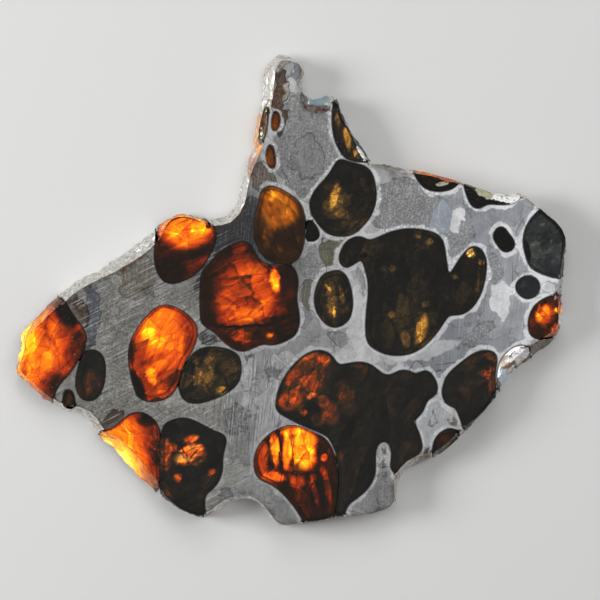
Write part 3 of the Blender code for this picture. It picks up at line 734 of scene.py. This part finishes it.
# The olivine crystals
# Clear to dark olivine, cut and polished with the metal, cracked inside, and broken where it
# reaches the rim. Light from below shows the cracks and stains in it as fire.
CRYSTAL_GROWTH = 0.2 * MM
POLISHING_STEP = 0.01 * MM
OLIVINE_IOR = 1.67
SHARD_SIZE = 3.4
SHARD_SHIFT = 1.3
SHARD_SHADE = 0.20
SPLINTER_SIZE = 1.1
SPLINTER_SHIFT = 0.5
SPLINTER_SHADE = 0.10
LONG = 1.8
SLOPE = 1.6
CLOUD_NOISE = (2.4, 4.0, 0.6)
CLOUD_SHADE = 0.24
SHARD_GLINT = 0.35
SPLINTER_GLINT = 0.25
CRACK_WIDTH = 0.03
CRACK_SHADE = 0.72
SMALL_FIRE = 1.9
FIRE_EDGE = 0.45
VEIN_NOISE = (1.5, 4.0, 0.6)
VEIN_START, VEIN_MIDDLE, VEIN_END = 0.49, 0.515, 0.54
SPECK_NOISE = (0.45, 2.0, 0.5)
SPECKS = (0.66, 0.74)
SPECK_SHADE = 0.20
WALL_SHADE = (0.0, 0.40, 0.40, 1.0)
CHIPPED_NOISE = (0.9, 5.0, 0.65)
CHIPPED_RELIEF = (0.5, 0.3)
CHIPPED_ROUGHNESS = 0.22
POLISHED_ROUGHNESS = 0.04
SCAR_AND_SHEEN_NOISE = (0.5, 3.0, 0.7)
SCAR_AND_SHEEN_ROUGHNESS = 0.45
SCAR_AND_SHEEN_EDGE = (0.06, 0.22)
RIM_GLOW = 0.40
BRIGHTEST = 0.65
AMBER_HEAT = (
    (0.0, (0.001, 0.001, 0.001)), (0.17, (0.010, 0.003, 0.002)), (0.34, (0.15, 0.013, 0.001)),
    (0.50, (0.42, 0.055, 0.002)), (0.68, (0.62, 0.16, 0.004)), (0.84, (0.82, 0.38, 0.02)),
    (1.0, (1.0, 0.93, 0.45)),
)
DARK_HEAT = (
    (0.0, (0.001, 0.001, 0.001)), (0.22, (0.003, 0.003, 0.003)), (0.36, (0.016, 0.012, 0.007)),
    (0.50, (0.08, 0.040, 0.012)), (0.68, (0.32, 0.15, 0.02)), (0.86, (0.75, 0.38, 0.05)),
    (1.0, (1.0, 0.85, 0.45)),
)
EMBER_HEAT = (
    (0.0, (0.001, 0.001, 0.001)), (0.22, (0.004, 0.004, 0.004)), (0.36, (0.013, 0.010, 0.007)),
    (0.50, (0.12, 0.018, 0.004)), (0.68, (0.52, 0.060, 0.003)), (0.86, (0.98, 0.27, 0.010)),
    (1.0, (1.0, 0.80, 0.25)),
)
BROWN_HEAT = (
    (0.0, (0.003, 0.002, 0.002)), (0.20, (0.020, 0.009, 0.004)), (0.40, (0.13, 0.040, 0.007)),
    (0.60, (0.38, 0.12, 0.015)), (0.80, (0.70, 0.36, 0.06)), (1.0, (1.0, 0.92, 0.60)),
)
SLATE_HEAT = (
    (0.0, (0.003, 0.0035, 0.0045)), (0.25, (0.006, 0.008, 0.011)), (0.42, (0.018, 0.023, 0.030)),
    (0.65, (0.12, 0.12, 0.11)), (1.0, (0.9, 0.85, 0.6)),
)
PALE_HEAT = (
    (0.0, (0.05, 0.02, 0.01)), (0.30, (0.16, 0.13, 0.10)), (0.46, (0.34, 0.42, 0.46)),
    (0.62, (0.66, 0.76, 0.84)), (0.80, (0.95, 0.90, 0.90)), (1.0, (1.0, 1.0, 1.0)),
)

# Each crystal: its colours, how bright it is at rest, the direction of its cracks in degrees, and
# its fires: x, y, half the width and height, turn in degrees, and how much brighter or darker
CRYSTALS = {
    "left_tip": (AMBER_HEAT, 0.32, 60, (
        (-50.8, -11.6, 6.4, 9.4, 0, 0.24), (-53.4, -12.0, 3.6, 7.4, -6, 0.20),
        (-44.6, -4.6, 3.0, 3.6, 30, -0.30), (-42.6, -11.6, 2.0, 5.0, 0, -0.12),
        (-47.0, -18.6, 3.6, 2.8, 20, -0.16), (-54.6, -14.4, 1.4, 2.4, 0, 0.20),
        (-48.0, -9.8, 0.5, 4.4, 30, -0.12), (-51.6, -7.2, 1.8, 1.2, 30, 0.12),
        (-56.0, -12.4, 1.4, 6.4, 0, 0.34),
    )),
    "left_oval": (EMBER_HEAT, 0.21, 80, (
        (-39.8, -18.0, 1.8, 3.6, 0, 0.08), (-40.4, -20.6, 1.0, 1.4, 0, 0.12),
    )),
    "left_chip": (BROWN_HEAT, 0.40, 35, ((-44.4, -21.6, 0.8, 1.4, 0, 0.30),)),
    "left_middle": (AMBER_HEAT, 0.40, 48, (
        (-25.6, -10.0, 5.8, 7.6, -6, 0.22), (-28.6, -8.8, 2.0, 1.5, 30, 0.28),
        (-26.6, -10.6, 2.0, 1.1, 30, 0.20), (-27.8, -17.2, 1.4, 2.2, 20, 0.34),
        (-25.2, -4.6, 2.4, 1.4, 0, 0.10), (-30.8, -19.4, 1.4, 4.6, 24, -0.50),
        (-24.8, -22.4, 4.0, 1.3, 0, -0.44), (-31.8, -12.4, 0.8, 3.0, 0, -0.24),
        (-27.2, -13.6, 4.0, 1.0, 24, -0.14), (-24.6, -15.0, 0.7, 4.6, -40, -0.12),
        (-20.6, -11.0, 1.2, 5.0, 0, -0.10), (-25.8, -19.6, 1.6, 1.4, 0, 0.14),
    )),
    "upper_left": (AMBER_HEAT, 0.16, 15, (
        (-20.6, 12.2, 6.4, 4.4, 8, 0.44), (-18.0, 12.6, 3.0, 1.8, 0, 0.20),
        (-23.2, 11.6, 1.6, 1.4, 0, 0.12), (-18.0, 5.8, 4.0, 2.0, 0, 0.10),
        (-24.0, 3.4, 4.0, 4.0, 0, -0.08),
    )),
    "centre_left": (AMBER_HEAT, 0.13, 20, (
        (-9.0, -0.6, 8.0, 8.6, 0, 0.34), (-8.8, -4.8, 4.0, 1.6, 6, 0.12),
        (-5.8, -4.0, 3.2, 2.0, 30, 0.16), (-3.2, 2.0, 1.3, 2.9, 8, 0.62),
        (-4.2, -9.0, 1.0, 0.7, 0, 0.50), (-9.0, -7.2, 6.4, 0.35, 4, -0.35),
        (-9.6, -9.2, 2.8, 1.6, 0, 0.24), (-10.2, 8.6, 2.2, 1.6, 30, 0.14),
        (-9.0, 1.4, 0.4, 3.6, 40, -0.12), (-12.6, -2.0, 3.2, 0.4, -30, -0.10),
        (-13.2, -5.8, 2.4, 1.2, 20, 0.12), (-1.6, -5.2, 1.6, 2.6, 0, 0.08),
    )),
    "neck": (BROWN_HEAT, 0.14, -60, (
        (-2.2, 16.2, 4.8, 5.2, 20, 0.36), (-4.4, 18.8, 1.8, 1.4, 0, 0.16),
        (-0.8, 14.6, 1.6, 2.2, 0, 0.10), (-4.6, 10.6, 1.2, 3.0, 0, 0.14),
        (-2.6, 8.0, 1.4, 1.2, 0, 0.16),
    )),
    "left_dark": (DARK_HEAT, 0.24, 35, (
        (-16.6, -16.4, 2.0, 4.6, -12, 0.24), (-18.8, -17.0, 1.0, 4.0, 0, 0.20),
        (-13.6, -20.0, 1.4, 1.0, 0, 0.30), (-12.0, -16.0, 2.6, 3.8, 0, 0.10),
    )),
    "lower_left": (AMBER_HEAT, 0.36, -45, (
        (-33.6, -31.0, 5.6, 8.8, 30, 0.34), (-34.8, -32.6, 2.8, 6.4, 40, 0.34),
        (-28.0, -25.2, 3.0, 2.0, 0, -0.34), (-27.6, -33.4, 1.4, 5.0, 0, -0.06),
        (-32.4, -26.6, 2.8, 1.2, -30, 0.10), (-36.2, -32.6, 1.4, 5.6, 42, 0.20),
        (-31.2, -38.4, 1.4, 2.8, 40, 0.34),
    )),
    "lower_left_dark": (EMBER_HEAT, 0.21, 25, (
        (-20.2, -33.0, 4.0, 2.2, 24, 0.54), (-21.4, -34.2, 2.0, 0.9, 10, 0.30),
        (-18.4, -31.6, 1.4, 0.8, 20, 0.24), (-23.6, -31.6, 1.0, 1.0, 0, 0.36),
        (-22.8, -37.6, 1.0, 0.9, 0, 0.40), (-20.0, -29.8, 2.2, 1.0, 20, 0.40),
        (-16.0, -36.4, 1.1, 0.9, 0, 0.30), (-24.8, -33.0, 1.0, 4.2, 0, 0.26),
        (-19.6, -33.0, 0.25, 2.6, -40, -0.30), (-21.4, -32.6, 0.25, 2.0, 20, -0.30),
    )),
    "horn_right": (DARK_HEAT, 0.24, 70, (
        (11.4, 30.8, 0.9, 3.4, 8, 0.30), (13.0, 27.6, 0.6, 0.8, 0, 0.34),
        (9.6, 34.4, 0.8, 1.6, 0, 0.16), (12.6, 26.0, 1.6, 1.6, 0, 0.10),
    )),
    "neck_right": (DARK_HEAT, 0.21, 35, (
        (8.8, 19.0, 1.1, 3.4, -16, 0.32), (14.4, 22.0, 0.7, 0.7, 0, 0.20),
        (10.6, 14.6, 2.0, 2.0, 0, 0.12), (8.4, 18.0, 3.6, 4.6, 0, 0.12),
    )),
    "neck_grain": (DARK_HEAT, 0.30, 35, ()),
    "centre_oval": (DARK_HEAT, 0.24, 35, (
        (8.2, -2.0, 1.4, 4.0, 0, 0.20), (10.2, -1.0, 0.7, 2.6, 10, 0.24),
        (7.4, 0.6, 1.2, 0.4, -40, 0.30), (8.8, -4.6, 0.4, 1.4, 10, 0.30),
    )),
    "centre_group": (DARK_HEAT, 0.21, 80, (
        (18.6, 4.4, 0.9, 0.8, 0, 0.24), (20.6, 4.6, 0.9, 0.8, 0, 0.22),
        (25.4, 11.0, 1.0, 0.7, 0, 0.26), (28.0, 9.6, 1.0, 0.8, 0, 0.22),
        (20.2, -4.8, 0.9, 0.9, 0, 0.20), (27.0, -2.8, 1.0, 0.8, 0, 0.20),
        (26.2, -8.2, 1.4, 3.8, -16, 0.30), (23.0, -9.8, 1.2, 2.2, 10, 0.26),
        (36.0, 7.4, 1.2, 1.1, 0, 0.80), (38.0, 5.8, 0.8, 0.8, 0, 0.30),
        (33.0, 2.8, 0.7, 0.7, 0, 0.46), (37.6, 1.8, 0.5, 3.0, 0, 0.20),
        (24.0, -6.0, 5.0, 5.0, 0, 0.06),
    )),
    "lower_group": (EMBER_HEAT, 0.21, 55, (
        (3.0, -17.0, 6.0, 6.4, 0, 0.24), (4.0, -13.0, 2.2, 1.0, 30, 0.22),
        (6.8, -13.6, 1.6, 1.2, 0, 0.22), (1.0, -17.6, 2.4, 3.0, 0, 0.10),
        (0.0, -22.4, 3.0, 2.2, 0, 0.24), (4.2, -21.2, 1.4, 0.9, 0, 0.26),
        (2.6, -24.6, 0.9, 0.7, 0, 0.40), (5.4, -26.0, 1.6, 1.8, 0, 0.22),
        (8.0, -25.0, 2.2, 3.0, 0, 0.18), (6.4, -22.4, 1.8, 1.6, 0, 0.20),
        (13.2, -15.2, 1.6, 0.6, 0, 0.12), (11.4, -21.4, 2.2, 3.2, 0, 0.08),
    )),
    "lower_amber": (AMBER_HEAT, 0.15, 86, (
        (-3.3, -31.4, 1.2, 4.8, 4, 0.62), (-0.8, -32.2, 1.2, 4.8, 0, 0.54),
        (2.8, -31.6, 3.2, 5.6, 0, 0.56), (3.8, -33.6, 1.8, 3.0, 0, 0.20),
        (0.6, -27.8, 4.0, 1.6, 10, 0.30), (-5.6, -33.0, 1.5, 4.8, 0, 0.22),
        (-3.4, -37.4, 3.0, 1.2, -12, 0.34), (-2.1, -32.0, 0.2, 5.0, 4, -0.60),
        (0.4, -33.4, 0.16, 4.4, 2, -0.30), (6.6, -33.4, 1.0, 1.0, 0, 0.40),
        (7.2, -39.0, 0.9, 4.6, 14, 0.22), (4.8, -40.0, 0.8, 4.2, 14, 0.22),
        (2.2, -36.6, 4.4, 0.2, 0, -0.40), (1.4, -38.4, 2.0, 1.6, 0, 0.20),
    )),
    "top_rim": (BROWN_HEAT, 0.16, 35, (
        (30.6, 22.4, 3.6, 0.7, -14, 0.60), (26.0, 23.4, 2.6, 0.7, -12, 0.60),
        (29.4, 21.0, 0.6, 0.5, 0, 0.40), (32.4, 20.6, 0.5, 0.5, 0, 0.40),
    )),
    # The two fires of top_corner at full strength are painted sheen, the lamps' reflection on its
    # broken face
    "top_corner": (BROWN_HEAT, 0.12, 35, (
        (38.8, 19.6, 2.6, 1.2, -14, 0.44), (45.0, 19.2, 2.8, 1.8, 0, 1.0),
        (41.2, 19.6, 1.6, 1.2, 0, 0.40), (37.2, 17.8, 0.5, 0.5, 0, 0.40),
        (47.2, 20.0, 2.4, 1.6, 0, 1.0),
    )),
    "right_pair": (BROWN_HEAT, 0.26, 35, (
        (41.6, 12.8, 1.5, 1.5, 0, 0.20), (43.4, 10.0, 1.8, 1.8, 0, -0.30),
    )),
    "right_round": (SLATE_HEAT, 0.20, 35, ((46.8, 1.4, 1.0, 0.9, 0, 0.12),)),
    "right_edge": (SLATE_HEAT, 0.32, 35, (
        (52.4, 14.2, 0.5, 0.5, 0, 0.30), (52.2, 10.0, 0.4, 0.6, 0, 0.36),
        (50.4, 13.2, 0.5, 0.5, 0, 0.24),
    )),
    "right_amber": (AMBER_HEAT, 0.18, -50, (
        (50.9, -4.8, 2.2, 3.0, 0, 0.54), (50.4, -3.4, 0.5, 1.8, -30, -0.30),
        (49.8, -5.6, 0.9, 1.2, 0, 0.20), (53.4, -4.0, 0.6, 0.6, 0, 0.60),
        (53.0, -7.6, 0.8, 1.4, 0, 0.40),
    )),
    "rim_clear": (PALE_HEAT, 0.62, 35, (
        (45.6, -13.6, 2.0, 2.4, 30, 0.36), (43.2, -15.4, 1.2, 0.6, 30, -0.40),
        (44.2, -19.0, 1.2, 3.0, 0, 0.30),
    )),
    "right_lower": (EMBER_HEAT, 0.22, 30, (
        (40.4, -13.2, 1.6, 1.4, 0, 0.22), (40.6, -18.0, 1.5, 3.6, 0, 0.24),
        (38.6, -16.8, 1.4, 0.9, 0, 0.16), (41.2, -14.4, 0.9, 0.9, 0, 0.24),
        (36.0, -14.0, 2.0, 1.0, 30, 0.06),
    )),
    "right_rim_brown": (BROWN_HEAT, 0.42, 35, ((31.0, -30.0, 1.4, 1.2, 0, 0.15),)),
    # The horn's slivers have metal under them; their bright amber is painted glow, standing in for
    # light through them
    "horn_sliver_1": (AMBER_HEAT, 0.80, 35, ()),
    "horn_sliver_2": (AMBER_HEAT, 0.80, 35, ()),
    "horn_sliver_3": (AMBER_HEAT, 0.80, 35, ()),
}
SLOTS = {
    "amber_olivine": "left_tip left_middle upper_left centre_left lower_left lower_amber"
                     " right_amber horn_sliver_1 horn_sliver_2",
    "brown_olivine": "left_chip neck top_rim top_corner right_pair right_rim_brown",
    "dark_olivine": "left_oval left_dark lower_left_dark horn_right neck_right neck_grain"
                    " centre_oval centre_group lower_group right_round right_edge right_lower"
                    " horn_sliver_3",
    "clear_olivine": "rim_clear",
}
STAINS = {
    "amber_olivine": ((0.994, 0.93, 0.10), 600.0),
    "brown_olivine": ((0.97, 0.88, 0.10), 500.0),
    "dark_olivine": ((0.93, 0.89, 0.72), 200.0),
    "clear_olivine": ((0.60, 0.75, 0.90), 10.0),
}

# Crushed places in some crystals, which scatter light; the pale ones are also painted sheen,
# standing in for lamplight off broken faces: x, y, half the width and height, turn in degrees,
# colour
SCARS_AND_SHEENS = {
    "top_corner": (
        # Painted sheen: this white patch stands in for a reflection of the lamps on the broken
        # face
        (43.2, 18.8, 3.8, 1.6, -6, (0.95, 0.94, 0.92)),
        (38.8, 19.6, 2.2, 1.3, -14, (0.46, 0.43, 0.28)),
        (38.0, 21.6, 2.8, 0.6, -20, (0.80, 0.34, 0.08)),
    ),
    "top_rim": (
        (27.4, 23.6, 3.6, 0.7, -12, (0.85, 0.28, 0.04)),
        (31.4, 22.4, 2.8, 0.7, -16, (0.55, 0.14, 0.07)),
        (30.4, 21.2, 1.5, 0.5, 10, (0.40, 0.37, 0.30)),
    ),
    "rim_clear": (
        (46.0, -13.2, 2.6, 1.6, 30, (0.92, 0.90, 0.90)),
        (43.2, -18.2, 1.3, 3.0, 10, (0.72, 0.84, 0.95)),
        (44.0, -15.0, 1.3, 0.5, 40, (0.34, 0.15, 0.06)),
        (47.0, -14.4, 1.0, 0.4, 20, (0.30, 0.13, 0.05)),
    ),
    "horn_right": (
        (14.2, 27.4, 0.5, 2.2, 32, (0.85, 0.85, 0.84)),
        (11.8, 32.6, 0.4, 2.4, 26, (0.50, 0.50, 0.48)),
    ),
    "left_tip": (
        (-55.6, -17.2, 1.0, 1.6, 0, (0.95, 0.95, 0.96)),
        (-52.0, -4.2, 2.6, 1.0, 40, (0.86, 0.74, 0.50)),
    ),
    "right_amber": ((54.4, -6.4, 0.6, 2.0, 10, (0.95, 0.93, 0.90)),),
    "lower_left": (
        (-36.4, -32.6, 0.7, 3.4, 40, (0.97, 0.92, 0.72)),
        (-31.2, -39.0, 0.8, 2.4, 40, (0.90, 0.84, 0.76)),
    ),
}


def cracked(stone, size, lean, reach):
    """Straight-edged shards of about one size, longer along the lean: places that jump from one
    shard to the next, and a shade that differs between them and slopes across each."""
    drawn_out = stone.stretched(lean, LONG, 1.0)
    cells = {"Vector": drawn_out, "Scale": 1 / size, "Randomness": 1.0}
    tint = stone.node("TexVoronoi", {"feature": "F1"}, cells, "Color")
    middle = stone.node("TexVoronoi", {"feature": "F1"}, cells, "Position")
    tilt = stone.node("VectorMath", {"operation": "SUBTRACT"}, {0: tint, 1: MIDDLE_GREY})
    from_middle = stone.node("VectorMath", {"operation": "SUBTRACT"}, {0: drawn_out, 1: middle})
    slope = stone.node("VectorMath", {"operation": "DOT_PRODUCT"}, {0: from_middle, 1: tilt},
                       "Value")
    shift = stone.node("VectorMath", {"operation": "SCALE"}, {0: tilt, "Scale": reach})
    jumping = stone.node("VectorMath", {"operation": "ADD"}, {0: stone.place, 1: shift})
    shade = stone.node("SeparateColor", None, {0: tint}, 0) - 0.5 + slope * (SLOPE / size)
    return jumping, shade


def olivine(name, heat, rest, lean, fires, scars_and_sheens, stain, density, broken=False):
    """See-through olivine: cracked, darker and brighter in places, and crushed at its scars, whose
    pale places are also painted sheen.
    """
    stone = Finish(name)
    shards, shard = cracked(stone, SHARD_SIZE, lean, SHARD_SHIFT)
    splinters, splinter = cracked(stone, SPLINTER_SIZE, lean, SPLINTER_SHIFT)
    value = stone.noise(*CLOUD_NOISE) * CLOUD_SHADE - CLOUD_SHADE / 2 + rest
    if broken and heat in (AMBER_HEAT, BROWN_HEAT):
        value = value + RIM_GLOW
    contrast = 3.0 if heat is PALE_HEAT else min(1.0, 0.4 + 2.5 * rest)
    value = value + shard * (SHARD_SHADE * contrast) + splinter * (SPLINTER_SHADE * contrast)
    glint = shard * SHARD_GLINT + splinter * SPLINTER_GLINT + 1.0
    for x, y, across, along, turn, strength in fires:
        place = splinters if min(across, along) < SMALL_FIRE else shards
        fire = stone.between(stone.spot(x, y, across, along, turn, place), 0.0, FIRE_EDGE)
        value = value + fire * glint * strength
    crack = {"Vector": stone.stretched(lean, LONG, 1.0), "Scale": 1 / SHARD_SIZE}
    crack = stone.node("TexVoronoi", {"feature": "DISTANCE_TO_EDGE"}, crack, 0)
    value = value * stone.between(crack, 0.0, CRACK_WIDTH, CRACK_SHADE, 1.0)
    if heat in (DARK_HEAT, EMBER_HEAT, SLATE_HEAT):
        veins = stone.noise(*VEIN_NOISE, distortion=1.4)
        veins = (stone.between(veins, VEIN_START, VEIN_MIDDLE)
                 - stone.between(veins, VEIN_MIDDLE, VEIN_END))
        specks = stone.between(stone.noise(*SPECK_NOISE), *SPECKS)
        value = value + veins * (0.12 if heat is EMBER_HEAT else 0.20) + specks * SPECK_SHADE
    if rest < BRIGHTEST:
        value = value * stone.between(stone.attribute("wall"), *WALL_SHADE)
    sockets = {"Base Color": stone.ramp(value, heat), "Roughness": POLISHED_ROUGHNESS,
               "IOR": OLIVINE_IOR, "Transmission Weight": 1.0}
    if broken:
        sockets["Roughness"] = CHIPPED_ROUGHNESS
        sockets["Normal"] = stone.bump(stone.noise(*CHIPPED_NOISE), *CHIPPED_RELIEF)
    surface = stone.node("BsdfPrincipled", None, sockets)
    # Crushed scars and painted sheens: a rough, opaque patch mixed over the glass
    if scars_and_sheens:
        rough = stone.noise(*SCAR_AND_SHEEN_NOISE)
        tint, scar_and_sheen_share = scars_and_sheens[0][-1], 0.0
        for x, y, across, along, turn, shade in scars_and_sheens:
            inside = stone.spot(x, y, across, along, turn, splinters)
            inside = stone.between(inside + rough * 0.5 - 0.25, *SCAR_AND_SHEEN_EDGE)
            tint = stone.mix(inside, tint, shade)
            scar_and_sheen_share = inside + scar_and_sheen_share
        tint = stone.mix(stone.between(rough, 0.30, 0.52), (0.1, 0.08, 0.07), tint)
        scar_and_sheen_finish = {"Base Color": tint, "Roughness": SCAR_AND_SHEEN_ROUGHNESS}
        scar_and_sheen_finish = stone.node("BsdfPrincipled", None, scar_and_sheen_finish)
        scar_and_sheen_share = stone.between(scar_and_sheen_share, 0.0, 1.0)
        surface = stone.node("MixShader", None, {0: scar_and_sheen_share, 1: surface, 2: scar_and_sheen_finish})
    filling = stone.node("VolumeAbsorption", None, {"Color": (*stain, 1.0), "Density": density})
    return stone.close(surface, filling)


for slot, names in SLOTS.items():
    stain, density = STAINS[slot]
    for name in names.split():
        heat, rest, lean, fires = CRYSTALS[name]
        crystal = fine_copy("olivine_" + name, name + "_crystal", CRYSTAL_GROWTH)
        for vert in crystal.data.vertices:
            if vert.co.z > THICKNESS - FLAT:
                vert.co.z -= POLISHING_STEP
        for finish, broken in ((name, False), (name + "_rim", True)):
            stone = olivine(finish, heat, rest, lean, fires, SCARS_AND_SHEENS.get(name, ()), stain, density,
                            broken)
            crystal.data.materials.append(stone)
        for face in crystal.data.polygons:
            face.material_index = int(face.material_index == RIM)


# The stage
# A pale floor that is lit from below where the slice covers it, as on a light table, soft
# lights above, and the camera looking straight down.
FLOOR_DROP = 0.2 * MM
FLOOR_SIZE = 3.0
PHOTO_MIDDLE = Vector((1.86, -1.96)) * MM
PHOTO_WIDTH = 120.0 * MM
CAMERA_HEIGHT = 0.6
SENSOR = 36.0
FLOOR_LOOK = {"Base Color": (0.74, 0.74, 0.73, 1.0), "Roughness": 0.9}
SKY_LIGHT = 0.20

ground = bmesh.new()
bmesh.ops.create_grid(ground, x_segments=1, y_segments=1, size=FLOOR_SIZE / 2)
bmesh.ops.translate(ground, verts=ground.verts[:], vec=(0.0, 0.0, -FLOOR_DROP))
floor = add_mesh("floor", ground)
pale = Finish("pale_floor")
floor.data.materials.append(pale.close(pale.node("BsdfPrincipled", None, FLOOR_LOOK)))

# The lit pane in the floor: it glows under the slice alone, up to a little inside the rim, so that
# only the crystals show it
PANE_DROP = 0.1 * MM
PANE_CELL = 0.5 * MM
PANE_MARGIN = 0.5
PANE_FADE = 0.3
PANE_LIGHT = 2.0
GAP_STEP = 0.4 * MM

rims = bmesh.new()
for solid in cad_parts.values():
    rims.from_mesh(solid.data)
name_regions(rims)
inner = [face for face in rims.faces if face.material_index != RIM]
bmesh.ops.delete(rims, geom=inner, context="FACES")
rim_tree = BVHTree.FromBMesh(rims)
rims.free()


def covered(place):
    """Whether the slice lies over a place in the floor, also where two of its pieces meet."""
    steps = [(0, 0)]
    if rim_tree.find_nearest(place)[3] > 2 * GAP_STEP:
        steps += [(GAP_STEP, 0), (-GAP_STEP, 0), (0, GAP_STEP), (0, -GAP_STEP)]
    hits = [solids_tree.ray_cast(place + Vector((x, y, -MM)), Vector((0, 0, 1)), 2 * MM)[0]
            for x, y in steps]
    return any(hit is not None for hit in hits)


pane = bmesh.new()
cells = math.ceil((cad_box[1].x - cad_box[0].x) / PANE_CELL)
bmesh.ops.create_grid(pane, x_segments=cells, y_segments=cells, size=cells * PANE_CELL / 2)
outside = [vert for vert in pane.verts if not covered(vert.co)]
bmesh.ops.delete(pane, geom=outside, context="VERTS")
inset = pane.verts.layers.float.new("inset")
for vert in pane.verts:
    vert[inset] = rim_tree.find_nearest(vert.co)[3] / MM
    vert.co.z = -PANE_DROP
lit_pane = add_mesh("lit_pane", pane)
lit = Finish("lit_pane")
shine = lit.between(lit.attribute("inset"), PANE_MARGIN, PANE_MARGIN + PANE_FADE)
sockets = {**FLOOR_LOOK, "Emission Color": lit.mix(shine, (0.0, 0.0, 0.0), (1.0, 0.97, 0.92)),
           "Emission Strength": PANE_LIGHT}
lit_pane.data.materials.append(lit.close(lit.node("BsdfPrincipled", None, sockets)))

# The lights: name, place, size and power
LIGHTS = (
    ("right_softbox", (0.24, 0.10, 0.52), 0.30, 0.9),
    ("left_strip", (-0.60, 0.05, 0.34), 0.30, 3.6),
    ("back_fill", (0.0, 0.60, 0.60), 0.50, 1.6),
)
for name, place, size, power in LIGHTS:
    lamp = bpy.data.lights.new(name, "AREA")
    lamp.energy = power
    lamp.size = size
    holder = add_object(name, lamp)
    holder.location = place
    holder.rotation_euler = (-Vector(place)).to_track_quat("-Z", "Y").to_euler()

world = bpy.data.worlds.new("studio")
world.use_nodes = True
world.node_tree.nodes["Background"].inputs["Color"].default_value = (1.0, 1.0, 1.0, 1.0)
world.node_tree.nodes["Background"].inputs["Strength"].default_value = SKY_LIGHT
bpy.context.scene.world = world
bpy.context.scene.view_settings.view_transform = "Standard"

camera = add_object("camera", bpy.data.cameras.new("camera"))
camera.location = (PHOTO_MIDDLE.x, PHOTO_MIDDLE.y, THICKNESS + CAMERA_HEIGHT)
camera.data.sensor_width = SENSOR
camera.data.lens = SENSOR * CAMERA_HEIGHT / PHOTO_WIDTH
camera.data.clip_start = 0.01
bpy.context.scene.camera = camera
